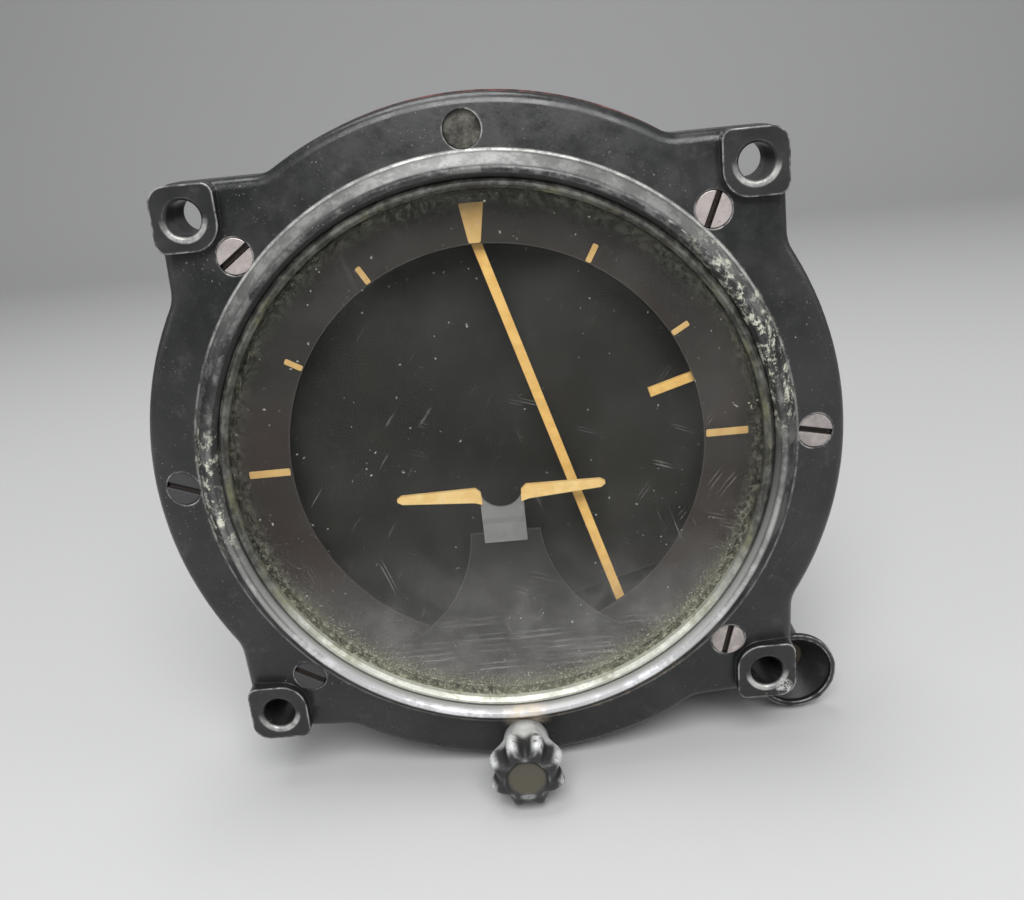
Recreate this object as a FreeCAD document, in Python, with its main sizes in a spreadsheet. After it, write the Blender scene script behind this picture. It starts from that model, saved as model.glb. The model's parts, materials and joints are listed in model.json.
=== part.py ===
import FreeCAD, Part
import Sketcher
import math
import os
import re

# Gyro horizon (attitude indicator), millimetres.
# Frame: +X to the right of the dial, +Y from the dial back into the case, +Z up.
# Origin: centre of the four mounting holes, in the plane of the four pad faces that
# bear on the back of the instrument panel.
# The gimbal is stored rolled and the gyro pitched, as the instrument lies when its
# rotor has run down.  Pieces that turn are drawn level and put there by Placement.

SIZES = (
    # panel mounting and the front casting
    ("hole_spacing", 101.6, "mounting holes, both ways"),
    ("mount_hole_radius", 3.2, "clearance hole for a No. 8 or 4 mm screw bush"),
    ("mount_chamfer", 0.45, "chamfer at the hole mouth"),
    ("pad_side", 12.0, "square mounting pad"),
    ("pad_corner", 3.4, "corner radius of a pad"),
    ("pad_inset", 0.15, "pads stand in from the sides of the ears"),
    ("pad_inner_corner", 5.0, "corner of a pad that faces the ring"),
    ("pad_side_corner", 2.0, "corners of a pad along the ear"),
    ("flange_radius", 67.2, "round part of the front casting"),
    ("flange_back", 11.5, "back face of the front casting"),
    ("flange_slope", 0.16, "fall of the front face for each mm of radius"),
    ("flange_edge", 2.2, "rounding of the outer front edge"),
    ("junction_radius", 7.0, "blend between round part and ears"),
    ("ring_base_radius", 57.5, "foot of the raised ring"),
    ("ring_base_y", 0.6, "front face at the foot of the ring"),
    ("ring_height", 3.3, "height of the ring over its foot"),
    ("ring_crest_radius", 54.4, "crest of the ring"),
    ("ring_flat", 1.1, "crest of the ring before rounding"),
    ("ring_round", 0.9, "rounding of the crest"),
    ("glass_bore_radius", 53.0, "bore that takes glass and retaining ring"),
    ("inner_bore_radius", 51.6, "bore behind the mask"),
    # glass and its fittings
    ("glass_front", 0.4, "front face of the cover glass"),
    ("glass_thick", 2.2, "cover glass"),
    ("glass_clearance", 0.1, "glass and ring in their bore, on radius"),
    ("retainer_width", 1.8, "radial width of the retaining ring"),
    ("retainer_proud", 2.0, "retaining ring over the glass"),
    ("gasket_thick", 0.8, "gasket behind the glass"),
    ("gasket_width", 2.2, "radial width of the glass gasket"),
    # mask, miniature airplane and shield
    ("mask_front", 5.7, "front face of the dial mask"),
    ("mask_thick", 0.6, "sheet of the dial mask"),
    ("mask_aperture", 40.75, "window in the mask"),
    ("mask_ring_thick", 1.2, "ring that holds the mask"),
    ("mask_ring_width", 2.4, "ring that holds the mask"),
    ("shield_top", -16.6, "height of the shield's top edge"),
    ("shield_top_half", 7.0, "half width at the top of the shield"),
    ("shield_foot_half", 24.0, "half width at the foot of the shield"),
    ("shield_foot", -40.5, "foot of the shield"),
    ("shield_side_radius", 28.0, "hollow sides of the shield"),
    ("shield_thick", 0.5, "sheet of the shield"),
    ("bracket_half", 4.3, "half width of the airplane bracket"),
    ("bracket_top", -9.6, "top of the airplane bracket"),
    ("bracket_thick", 0.6, "sheet of the bracket"),
    ("bracket_bend", -13.2, "upper bend of the bracket"),
    ("ear_reach", 2.0, "ears of the bracket behind the wings"),
    ("notch_radius", 4.4, "round notch in the bracket"),
    ("notch_depth", 1.4, "round notch in the bracket"),
    ("wing_y", 3.6, "front face of the airplane"),
    ("wing_thick", 0.7, "sheet of the airplane"),
    ("wing_root_x", 3.8, "root of each wing"),
    ("wing_tip_x", 20.6, "tip of each wing"),
    ("wing_top_root", -6.4, "upper root corner"),
    ("wing_top_tip", -6.6, "upper tip corner"),
    ("wing_low_root", -9.9, "lower root corner"),
    ("wing_low_tip", -8.4, "lower tip corner"),
    # screws round the ring
    ("screw_circle", 61.1, "pitch circle radius of the ring screws"),
    ("screw_head_radius", 3.3, "fillister head"),
    ("screw_head_height", 2.6, "fillister head"),
    ("screw_shank_radius", 2.0, "shank"),
    ("screw_length", 13.0, "shank under the head"),
    ("screw_clearance", 0.1, "head and shank in their holes, on radius"),
    ("screw_seat", 4.0, "seat of the heads in the casting"),
    ("top_screw_drop", 2.0, "extra depth of the top screw, under its seal"),
    ("slot_width", 1.2, "driver slot"),
    ("slot_depth", 1.2, "driver slot"),
    ("seal_front", 2.6, "face of the seal compound over the top screw"),
    # case
    ("joint_gasket", 0.9, "gasket between casting and case"),
    ("joint_gasket_proud", 0.4, "that gasket beyond the casting"),
    ("case_bore", 53.4, "inner radius of the case"),
    ("case_wall", 2.8, "wall of the case"),
    ("case_flange_margin", 5.5, "front flange of the case beyond the screw circle"),
    ("case_flange_thick", 6.0, "front flange of the case"),
    ("case_back", 140.0, "back end of the case"),
    ("channel_half", 13.0, "half width of the channel under the case"),
    ("channel_foot", 69.0, "depth of the channel's foot below the axis"),
    ("channel_corner", 3.0, "rounding of the channel's lower edges"),
    ("channel_wall", 2.4, "wall of the channel round the cam"),
    ("channel_roof", 1.6, "wall between the cam space and the case"),
    ("cover_radius", 61.5, "rear cover and rear flange of the case"),
    ("cover_thick", 5.0, "rear cover"),
    ("rear_flange_thick", 5.0, "rear flange of the case"),
    ("cover_gasket", 0.6, "gasket under the rear cover"),
    ("cover_boss_radius", 10.0, "boss that holds the rear roll bearing"),
    ("cover_boss_length", 10.5, "front end of that boss ahead of the case end"),
    ("cover_screw_edge", 3.1, "cover screws in from the rim of the cover"),
    ("cover_screw_radius", 1.5, "cover screw shank"),
    ("cover_head_radius", 2.8, "cover screw head"),
    ("cover_head_height", 2.0, "cover screw head"),
    # caging knob
    ("knob_axis_drop", 60.8, "knob axis below the dial centre"),
    ("knob_front", 15.9, "front face of the knob before the pad plane"),
    ("knob_back", 1.2, "back face of the knob before the pad plane"),
    ("knob_radius", 8.0, "widest radius of the knob"),
    ("knob_neck", 4.7, "neck of the knob"),
    ("knob_flutes", 8, "hollows round the knob"),
    ("knob_flute_radius", 2.0, "cutter radius of a hollow"),
    ("knob_flute_bite", 1.7, "depth of a hollow"),
    ("knob_dish", 4.2, "radius of the dished front"),
    ("knob_dish_depth", 1.0, "depth of the dished front"),
    ("shaft_radius", 1.9, "caging shaft"),
    ("shaft_fit", 0.05, "running fit of the shaft, on radius"),
    ("shaft_end", 62.0, "back end of the caging shaft"),
    ("bush_radius", 3.2, "outside of the front bush"),
    ("bush_length", 6.5, "front bush"),
    ("cam_y", 44.0, "front face of the caging cam"),
    ("cam_width", 8.0, "caging cam"),
    ("cam_low", 3.0, "cam radius at rest"),
    ("cam_rise", 2.4, "rise of the cam over its travel"),
    ("knob_travel", 120.0, "turn of the knob, degrees"),
    ("plunger_radius", 2.0, "caging plunger"),
    ("guide_radius", 3.4, "guide of the plunger"),
    ("plunger_gap", 0.4, "cam to plunger"),
    ("plunger_top", 51.9, "top of the plunger below the axis, at rest"),
    # gimbal
    ("rest_roll", 73.7, "roll at which it is stored, degrees"),
    ("rest_pitch", 23.1, "pitch at which it is stored, degrees"),
    ("rest_arm", 6.34, "tilt of the bar arm at that pitch, degrees"),
    ("rail_gap", 1.0, "rails clear of the housing flange"),
    ("rail_thick", 6.0, "gimbal rails"),
    ("rail_depth", 12.0, "gimbal rails"),
    ("gimbal_front", 24.0, "front face of the gimbal frame"),
    ("gimbal_room", 16.0, "back face of the gimbal frame ahead of the case end"),
    ("gimbal_end_thick", 6.0, "ends of the gimbal frame"),
    ("gimbal_corner", 4.0, "corner radius of the gimbal frame"),
    ("roll_shaft_radius", 2.5, "roll pivots"),
    ("bearing_radius", 7.0, "outside of a roll bearing"),
    ("bearing_width", 4.0, "width of a roll bearing"),
    ("bearing_fit", 0.02, "bearing on its shaft, on radius"),
    ("disc_front", 12.8, "front face of the horizon disc"),
    ("disc_thick", 1.0, "horizon disc"),
    ("disc_radius", 46.0, "horizon disc"),
    ("disc_gap", 3.4, "flat side of the disc that lets the bar arm pass"),
    ("disc_hub_radius", 7.0, "hub behind the disc"),
    ("disc_hub_length", 2.0, "hub behind the disc"),
    ("index_front", 6.9, "face of the bank index"),
    ("index_width", 1.9, "bank index"),
    ("index_inner", 31.9, "inner end of the bank index"),
    ("index_thick", 0.6, "strip of the bank index"),
    ("bracket_arm_width", 12.0, "arm that holds the front roll bearing"),
    ("bracket_arm_thick", 5.0, "arm that holds the front roll bearing"),
    ("bracket_arm_foot", 9.0, "foot of that arm along the case"),
    ("arm_screw_radius", 1.25, "screws of the bearing arm"),
    ("arm_screw_head", 2.3, "head radius of those screws"),
    ("arm_screw_rise", 8.0, "those screws above and below the middle"),
    ("arm_screw_seat", 54.9, "seat of those screws from the roll axis"),
    ("balance_radius", 4.0, "balance weights of the gimbal"),
    ("balance_length", 5.0, "balance weights of the gimbal"),
    ("balance_x", 22.0, "balance weights each side of the roll axis"),
    # gyro
    ("pitch_y", 75.0, "pitch axis behind the pad plane"),
    ("housing_radius", 28.0, "outside of the rotor housing"),
    ("housing_half", 19.0, "half height of the rotor housing"),
    ("housing_wall", 2.2, "wall of the rotor housing"),
    ("housing_flange", 3.0, "flanges at the joint of the housing"),
    ("housing_screw_radius", 0.95, "screws of the housing cover"),
    ("cover_rise", 6.0, "height of the housing cover"),
    ("pitch_shaft_radius", 2.0, "pitch pivots"),
    ("pitch_boss_radius", 18.0, "round boss of each rail at the pitch axis"),
    ("pin_slot_gap", 0.6, "guide pin in the curved slot, on radius"),
    ("pin_slot_sweep", 64.0, "curved slot each way from level, degrees"),
    ("pitch_bearing_radius", 4.5, "pitch bearings"),
    ("pin_ahead", 14.0, "guide pin ahead of the pitch axis"),
    ("pin_radius", 0.8, "guide pin"),
    ("pin_seat", 3.4, "guide pin inside the outer face of the housing"),
    ("chamber_radius", 13.0, "pendulous vane chamber"),
    ("chamber_length", 15.0, "pendulous vane chamber"),
    ("chamber_wall", 1.4, "pendulous vane chamber"),
    ("rotor_gap", 1.8, "gyro rotor inside its housing, on radius"),
    ("rotor_half", 12.0, "half height of the rotor rim"),
    ("rotor_web", 5.0, "web of the rotor"),
    ("rotor_rim", 7.0, "rim of the rotor"),
    ("rotor_buckets", 24, "buckets round the rotor"),
    ("bucket_radius", 1.6, "cutter radius of a bucket"),
    ("bucket_length", 14.0, "length of a bucket along the rim"),
    ("spin_shaft_radius", 2.0, "spin shaft"),
    ("spin_bearing_radius", 4.5, "spin bearings"),
    ("spin_bearing_width", 3.0, "spin bearings"),
    ("vane_width", 7.0, "pendulous vane"),
    ("vane_drop", 8.0, "pendulous vane"),
    ("vane_thick", 0.6, "pendulous vane"),
    ("vane_shaft_radius", 0.7, "vane shaft"),
    # horizon bar
    ("arm_pivot_ahead", 12.0, "pivot of the bar arm ahead of the gimbal's back face"),
    ("bar_front", 7.1, "front face of the level horizon bar"),
    ("arm_gap", 3.0, "bar arm clear of the rail"),
    ("arm_thick", 1.2, "sheet of the bar arm"),
    ("arm_width", 4.0, "bar arm"),
    ("arm_slot_width", 6.0, "bar arm round its slot"),
    ("arm_slot_gap", 0.6, "guide pin in the slot of the arm, on radius"),
    ("bar_width", 1.9, "horizon bar"),
    ("bar_thick", 0.7, "horizon bar"),
    ("bar_tip", 40.6, "free end of the horizon bar"),
    ("arm_pivot_radius", 1.5, "pivot screw of the bar arm"),
    ("bar_weight_radius", 4.0, "counterweight of the bar"),
    ("bar_weight_length", 3.0, "counterweight of the bar"),
    ("bar_weight_y", 16.0, "back end of the arm behind its pivot"),
    # ports
    ("port_radius", 8.0, "suction fitting"),
    ("cover_port", 4.0, "air passage through the rear cover"),
    ("port_bore", 4.5, "bore of the suction fitting"),
    ("port_length", 16.0, "suction fitting behind the cover"),
    ("cup_radius", 8.75, "mouth of the air inlet"),
    ("cup_rim", 1.2, "straight rim of the mouth"),
    ("cup_depth", 7.0, "mouth to throat"),
    ("cup_x", 59.8, "axis of the mouth, to the right"),
    ("cup_drop", 59.2, "axis of the mouth, below the dial centre"),
    ("cup_front", 12.8, "mouth of the air inlet"),
    ("pipe_radius", 4.2, "pipe behind the mouth"),
    ("pipe_wall", 1.0, "wall of mouth and pipe"),
    ("pipe_bend", 9.0, "bend of the pipe, on its axis"),
    ("pipe_y", 46.0, "run of the pipe across to the channel"),
    ("screen_thick", 0.6, "screen in the throat"),
    ("screen_hole", 0.55, "holes of the screen"),
)

doc = FreeCAD.newDocument("GyroHorizon")
sheet = doc.addObject("Spreadsheet::Sheet", "Sizes")
for row, (alias, value, note) in enumerate(SIZES, start=1):
    sheet.set("A%d" % row, note)
    sheet.set("B%d" % row, str(value))
    sheet.setAlias("B%d" % row, alias)
doc.recompute()

NAMES = {alias for alias, value, note in SIZES}
NODES = []
# sizes that follow from others
DERIVED = {
    "case_flange_radius": "screw_circle + case_flange_margin",
    "cover_boss_front": "case_back - cover_boss_length",
    "cover_screw_circle": "cover_radius - cover_screw_edge",
    "gimbal_back": "case_back - gimbal_room",
    "arm_pivot_y": "gimbal_back - arm_pivot_ahead",
    "arm_reach": "arm_pivot_y - bar_front",
    "rotor_radius": "housing_radius - housing_wall - rotor_gap",
    "rail_inner": "housing_radius + housing_flange + rail_gap",
    "arm_u": "rail_inner + rail_thick + arm_gap",
    "pin_root": "housing_radius - pin_seat",
    "disc_chord": "arm_u - disc_gap",
}


def formula(text):
    """Write sheet names in a formula as the document knows them."""
    def known(word):
        name = word.group(0)
        if name in DERIVED:
            return "(%s)" % formula(DERIVED[name])
        return "Sizes." + name if name in NAMES else name
    return re.sub(r"\b[a-z_]+\b", known, str(text))


def number(text):
    """Value of a formula now."""
    return float(sheet.evalExpression(formula(text).replace("Sizes.", "")))


def bind(thing, prop, text):
    thing.setExpression(prop, formula(text))
    return thing


def new_body(label, kept=True):
    body = doc.addObject("PartDesign::Body", label)
    body.Label = label
    if kept:
        NODES.append(body)
    return body


def keep(thing, label):
    """Name a finished primitive, boolean or computed shape as a sub-part."""
    thing.Label = label
    NODES.append(thing)
    return thing


def origin_part(body, role):
    return [item for item in body.Origin.OriginFeatures if item.Role == role][0]


def sketch_on(body, role, offset="0"):
    """Sketch on an origin plane; offset runs along the plane's own normal."""
    sketch = body.newObject("Sketcher::SketchObject", "Sketch")
    sketch.AttachmentSupport = [(origin_part(body, role), "")]
    sketch.MapMode = "FlatFace"
    bind(sketch, "AttachmentOffset.Base.z", offset)
    return sketch


def drive(sketch, kind, places, text):
    """Add a driving constraint and bind its value to a formula."""
    index = sketch.addConstraint(Sketcher.Constraint(kind, *places, number(text)))
    sketch.setExpression("Constraints[%d]" % index, formula(text))


def pin_point(sketch, edge, point, across, up):
    """Fix a point of the sketch at two formulas."""
    for kind, axis, text in (("DistanceX", -2, across), ("DistanceY", -1, up)):
        if str(text) == "0":
            sketch.addConstraint(Sketcher.Constraint("PointOnObject", edge, point, axis))
        else:
            drive(sketch, kind, (-1, 1, edge, point), text)


def polygon(sketch, corners):
    """Closed loop of straight edges whose corners are pairs of formulas."""
    places = [FreeCAD.Vector(number(across), number(up), 0) for across, up in corners]
    first = sketch.GeometryCount
    count = len(corners)
    for index in range(count):
        sketch.addGeometry(Part.LineSegment(places[index], places[(index + 1) % count]), False)
    for index in range(count):
        following = first + (index + 1) % count
        sketch.addConstraint(Sketcher.Constraint("Coincident", first + index, 2, following, 1))
    for index, (across, up) in enumerate(corners):
        pin_point(sketch, first + index, 1, across, up)
    return sketch


def box_corners(low_x, high_x, low_z, high_z):
    return [(low_x, low_z), (high_x, low_z), (high_x, high_z), (low_x, high_z)]


def rounded_box(sketch, low_x, high_x, low_z, high_z, radii):
    """Rectangle with rounded corners; radii run from low-low round by high-low."""
    sides = [number(side) for side in (low_x, high_x, low_z, high_z)]
    corners = [(sides[0], sides[2]), (sides[1], sides[2]),
               (sides[1], sides[3]), (sides[0], sides[3])]
    inward = [(1, 1), (-1, 1), (-1, -1), (1, -1)]
    arcs, lines = [], []
    for index, (corner, way, radius) in enumerate(zip(corners, inward, radii)):
        size = number(radius)
        centre = FreeCAD.Vector(corner[0] + way[0] * size, corner[1] + way[1] * size, 0)
        ring = Part.Circle(centre, FreeCAD.Vector(0, 0, 1), size)
        start = math.pi * (1 + index / 2)
        arcs.append(sketch.addGeometry(
            Part.ArcOfCircle(ring, start, start + math.pi / 2), False))
        drive(sketch, "Radius", (arcs[-1],), radius)
    for index in range(4):
        leave = sketch.Geometry[arcs[index]].EndPoint
        arrive = sketch.Geometry[arcs[(index + 1) % 4]].StartPoint
        lines.append(sketch.addGeometry(Part.LineSegment(leave, arrive), False))
    for index, line in enumerate(lines):
        kind = "Horizontal" if index % 2 == 0 else "Vertical"
        sketch.addConstraint(Sketcher.Constraint(kind, line))
        sketch.addConstraint(Sketcher.Constraint("Tangent", arcs[index], 2, line, 1))
        following = arcs[(index + 1) % 4]
        sketch.addConstraint(Sketcher.Constraint("Tangent", line, 2, following, 1))
    for line, kind, place in ((0, "DistanceY", low_z), (1, "DistanceX", high_x),
                              (2, "DistanceY", high_z), (3, "DistanceX", low_x)):
        drive(sketch, kind, (-1, 1, lines[line], 1), place)


def circle(sketch, across, up, radius):
    centre = FreeCAD.Vector(number(across), number(up), 0)
    edge = sketch.addGeometry(Part.Circle(centre, FreeCAD.Vector(0, 0, 1), number(radius)), False)
    pin_point(sketch, edge, 3, across, up)
    drive(sketch, "Radius", (edge,), radius)
    return edge


def finish_feature(body, feature):
    doc.recompute()
    body.Tip = feature
    return feature


def extrude(body, sketch, kind, length, backward=True):
    """Pad or pocket; backward runs along +Y from a sketch on the XZ plane."""
    feature = body.newObject("PartDesign::" + kind, kind)
    feature.Profile = sketch
    bind(feature, "Length", length)
    feature.Reversed = backward if kind == "Pad" else not backward
    return finish_feature(body, feature)


def slab(body, front, back, corners=None, radius=None, kind="Pad"):
    """Extrude an outline seen from the dial between two depths."""
    sketch = sketch_on(body, "XZ_Plane", "-(%s)" % front)
    if corners:
        polygon(sketch, corners)
    if radius:
        circle(sketch, "0", "0", radius)
    return extrude(body, sketch, kind, "(%s) - (%s)" % (back, front))


def turn(body, corners, kind="Revolution", twist=0):
    """Turn a profile of (depth, radius) pairs about an axis along Y.

    twist turns the sketch about that axis, so that the seam misses later holes.
    """
    sketch = sketch_on(body, "YZ_Plane")
    sketch.AttachmentOffset = FreeCAD.Placement(
        FreeCAD.Vector(), FreeCAD.Rotation(FreeCAD.Vector(1, 0, 0), twist))
    polygon(sketch, corners)
    feature = body.newObject("PartDesign::" + kind, kind)
    feature.Profile = sketch
    feature.ReferenceAxis = (sketch, ["H_Axis"])
    feature.Angle = 360
    return finish_feature(body, feature)


def tube_profile(front, back, inner, outer):
    return [(front, inner), (back, inner), (back, outer), (front, outer)]


def repeat(body, feature, count, angle="360"):
    """Repeat a feature round the Y axis."""
    pattern = body.newObject("PartDesign::PolarPattern", "PolarPattern")
    pattern.Originals = [feature]
    pattern.Axis = (origin_part(body, "Y_Axis"), [""])
    bind(pattern, "Angle", angle)
    bind(pattern, "Occurrences", count)
    return finish_feature(body, pattern)


def soften(body, test, radius, kind="Fillet"):
    """Fillet or chamfer the edges that pass a test."""
    base = body.Tip
    names = ["Edge%d" % (index + 1) for index, edge in enumerate(base.Shape.Edges)
             if test(edge)]
    if not names:
        raise RuntimeError("no edge to soften on " + body.Label)
    feature = body.newObject("PartDesign::" + kind, kind)
    feature.Base = (base, names)
    bind(feature, "Radius" if kind == "Fillet" else "Size", radius)
    return finish_feature(body, feature)


def along_y(edge):
    """True for a straight edge that runs from front to back."""
    start, end = edge.Vertexes[0].Point, edge.Vertexes[-1].Point
    reach = end.sub(start)
    return math.hypot(reach.x, reach.z) < 0.001 < abs(reach.y)


def ring_at(depth, radius, slack=0.02):
    """Test for round edges about the Y axis at a depth and radius."""
    def test(edge):
        curve = edge.Curve
        if not isinstance(curve, Part.Circle):
            return False
        middle = curve.Center
        return (abs(curve.Radius - number(radius)) < slack
                and abs(middle.y - number(depth)) < slack
                and abs(middle.z) < slack and abs(middle.x) < slack)
    return test


def cylinder(label, radius, length, x="0", y="0", z="0", direction=(0, 1, 0)):
    """Part cylinder from a point along a direction."""
    thing = doc.addObject("Part::Cylinder", label)
    bind(thing, "Radius", radius)
    bind(thing, "Height", length)
    turned = FreeCAD.Rotation(FreeCAD.Vector(0, 0, 1), FreeCAD.Vector(*direction))
    thing.Placement = FreeCAD.Placement(FreeCAD.Vector(0, 0, 0), turned)
    bind(thing, "Placement.Base.x", x)
    bind(thing, "Placement.Base.y", y)
    bind(thing, "Placement.Base.z", z)
    return thing


def block(label, low, high):
    """Part box between two corners given as formulas."""
    thing = doc.addObject("Part::Box", label)
    for side, start, end in zip(("Length", "Width", "Height"), low, high):
        bind(thing, side, "(%s) - (%s)" % (end, start))
    for letter, start in zip("xyz", low):
        bind(thing, "Placement.Base." + letter, start)
    return thing


def fuse(label, *things):
    joined = doc.addObject("Part::MultiFuse", label)
    joined.Shapes = list(things)
    joined.Refine = True
    return joined


def cut(label, base, *tools):
    tool = tools[0] if len(tools) == 1 else fuse(label + "_tools", *tools)
    result = doc.addObject("Part::Cut", label)
    result.Base = base
    result.Tool = tool
    result.Refine = True
    return result


def together(label, *things):
    """Separate solids that share one node, such as a set of screws."""
    group = doc.addObject("Part::Compound", label)
    group.Links = list(things)
    return keep(group, label)


# ---------------------------------------------------------------- front casting

def at_radius(radius):
    """Depth of the sloping front face at a radius."""
    return "ring_base_y + flange_slope * ((%s) - ring_base_radius)" % radius


PAD_CENTRE = "hole_spacing / 2"
EAR_HALF = "hole_spacing / 2 + pad_side / 2"
GLASS_BACK = "glass_front + glass_thick"


SEAM_TWIST = 18


def outline_corner(edge):
    start = edge.Vertexes[0].Point
    half = number(EAR_HALF)
    return along_y(edge) and abs(abs(start.x) - half) < 0.01 and abs(abs(start.z) - half) < 0.01


def outline_junction(edge):
    start = edge.Vertexes[0].Point
    reach = math.hypot(start.x, start.z)
    half = number(EAR_HALF)
    beside = abs(abs(start.x) - half) < 0.01 or abs(abs(start.z) - half) < 0.01
    return along_y(edge) and abs(reach - number("flange_radius")) < 0.01 and beside


def front_edge(edge):
    """Edges where the sloping face meets the outline, away from the back face."""
    box = edge.BoundBox
    middle = edge.valueAt((edge.FirstParameter + edge.LastParameter) / 2)
    reach = math.hypot(middle.x, middle.z)
    sloping = abs(middle.y - number(at_radius(str(reach)))) < 0.05
    return sloping and reach > number("screw_circle") and box.YMax < number("flange_back") / 2


def outline_loop(sketch):
    """Closed outline of the casting: four arcs of the round part and four square ears."""
    half = number(EAR_HALF)
    radius = number("flange_radius")
    start = math.atan2(half, math.sqrt(radius ** 2 - half ** 2))
    ring = Part.Circle(FreeCAD.Vector(0, 0, 0), FreeCAD.Vector(0, 0, 1), radius)
    arcs = []
    for side in range(4):
        middle = side * math.pi / 2
        spread = math.pi / 2 - start
        arc = sketch.addGeometry(Part.ArcOfCircle(ring, middle - spread, middle + spread), False)
        sketch.addConstraint(Sketcher.Constraint("Coincident", arc, 3, -1, 1))
        if arcs:
            sketch.addConstraint(Sketcher.Constraint("Equal", arc, arcs[0]))
        else:
            drive(sketch, "Radius", (arc,), "flange_radius")
        arcs.append(arc)
    for side in range(4):
        turned = FreeCAD.Rotation(FreeCAD.Vector(0, 0, 1), 90 * side)
        leave = turned.multVec(FreeCAD.Vector(half, math.sqrt(radius ** 2 - half ** 2), 0))
        corner = turned.multVec(FreeCAD.Vector(half, half, 0))
        arrive = turned.multVec(FreeCAD.Vector(math.sqrt(radius ** 2 - half ** 2), half, 0))
        first = sketch.addGeometry(Part.LineSegment(leave, corner), False)
        second = sketch.addGeometry(Part.LineSegment(corner, arrive), False)
        sketch.addConstraint(Sketcher.Constraint("Coincident", arcs[side], 2, first, 1))
        sketch.addConstraint(Sketcher.Constraint("Coincident", first, 2, second, 1))
        sketch.addConstraint(Sketcher.Constraint("Coincident", second, 2, arcs[(side + 1) % 4], 1))
        signs = ["" if value > 0 else "-" for value in (corner.x, corner.y)]
        pin_point(sketch, first, 2, signs[0] + "(%s)" % EAR_HALF, signs[1] + "(%s)" % EAR_HALF)
        kinds = ("Vertical", "Horizontal") if side % 2 == 0 else ("Horizontal", "Vertical")
        sketch.addConstraint(Sketcher.Constraint(kinds[0], first))
        sketch.addConstraint(Sketcher.Constraint(kinds[1], second))


def bezel_frame():
    """Cast front: sloping flange, four pads, raised ring, bores and screw seats."""
    body = new_body("bezel_frame")
    half = EAR_HALF
    reach = "(%s) * 1.5" % half
    crest_front = "ring_base_y - ring_height"
    crest_outer = "ring_crest_radius + ring_flat / 2"
    crest_inner = "ring_crest_radius - ring_flat / 2"
    turn(body, [("flange_back", "case_bore"), ("flange_back", reach),
                (at_radius(reach), reach), ("ring_base_y", "ring_base_radius"),
                (crest_front, crest_outer), (crest_front, crest_inner),
                ("ring_base_y - ring_height / 2", "glass_bore_radius"),
                (GLASS_BACK + " + gasket_thick", "glass_bore_radius"),
                (GLASS_BACK + " + gasket_thick", "inner_bore_radius"),
                ("mask_front", "inner_bore_radius"), ("mask_front", "case_bore")],
         twist=SEAM_TWIST)
    soften(body, ring_at(crest_front, crest_outer), "ring_round")
    soften(body, ring_at(crest_front, crest_inner), "ring_round / 2")
    sketch = sketch_on(body, "XZ_Plane", "2 * ring_height")
    outline_loop(sketch)
    circle(sketch, "0", "0", reach + " + 1")
    extrude(body, sketch, "Pocket", "flange_back + 3 * ring_height")
    soften(body, outline_corner, "pad_corner")
    soften(body, outline_junction, "junction_radius")
    soften(body, front_edge, "flange_edge")

    inner = "%s - pad_side / 2" % PAD_CENTRE
    sketch = sketch_on(body, "XZ_Plane")
    outer = half + " - pad_inset"
    rounded_box(sketch, inner, outer, inner, outer,
                ("pad_inner_corner", "pad_side_corner", "pad_corner", "pad_side_corner"))
    pad = extrude(body, sketch, "Pad", "flange_back / 2")
    repeat(body, pad, "4")

    seat = screw_hole(body, "screw_head_radius + screw_clearance", crest_front, "screw_seat")
    repeat(body, seat, "7", "270")
    pocket_circle(body, "XZ_Plane", "-screw_seat", "0", "screw_circle",
                  "screw_head_radius + screw_clearance", "top_screw_drop")
    bore = screw_hole(body, "screw_shank_radius + screw_clearance", "screw_seat", "flange_back")
    repeat(body, bore, "7", "270")
    sketch = sketch_on(body, "XZ_Plane", "-(%s)" % crest_front)
    circle(sketch, "0", "-knob_axis_drop", "bush_radius")
    extrude(body, sketch, "Pocket", "flange_back - (%s)" % crest_front)
    sketch = sketch_on(body, "XZ_Plane", "0")
    circle(sketch, PAD_CENTRE, PAD_CENTRE, "mount_hole_radius")
    hole = extrude(body, sketch, "Pocket", "flange_back")
    repeat(body, hole, "4")
    soften(body, mount_mouth, "mount_chamfer", "Chamfer")
    return body


def mount_mouth(edge):
    if not isinstance(edge.Curve, Part.Circle):
        return False
    middle = edge.Curve.Center
    centre = number(PAD_CENTRE)
    return (abs(abs(middle.x) - centre) < 0.01 and abs(abs(middle.z) - centre) < 0.01
            and abs(middle.y) < 0.01
            and abs(edge.Curve.Radius - number("mount_hole_radius")) < 0.01)


def screw_hole(body, radius, front, back):
    """One hole of the ring of seven, first one past the knob."""
    sketch = sketch_on(body, "XZ_Plane", "-(%s)" % front)
    circle(sketch, "-screw_circle * sin(45)", "-screw_circle * cos(45)", radius)
    return extrude(body, sketch, "Pocket", "(%s) - (%s)" % (back, front))


# ---------------------------------------------------------------- placing

LEVEL = FreeCAD.Placement()


def frames():
    """Placements of the rolled gimbal, the pitched gyro and the tilted bar."""
    origin = FreeCAD.Vector()
    right = FreeCAD.Vector(1, 0, 0)
    gimbal = FreeCAD.Placement(
        origin, FreeCAD.Rotation(FreeCAD.Vector(0, 1, 0), number("rest_roll")), origin)
    gyro = gimbal.multiply(FreeCAD.Placement(
        FreeCAD.Vector(0, number("pitch_y"), 0),
        FreeCAD.Rotation(right, -number("rest_pitch"))))
    bar = gimbal.multiply(FreeCAD.Placement(
        FreeCAD.Vector(0, number("arm_pivot_y"), 0),
        FreeCAD.Rotation(right, -number("rest_arm"))))
    return gimbal, gyro, bar


GIMBAL, GYRO, BAR = frames()
SPIN_UP = FreeCAD.Rotation(FreeCAD.Vector(1, 0, 0), 90)


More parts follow.
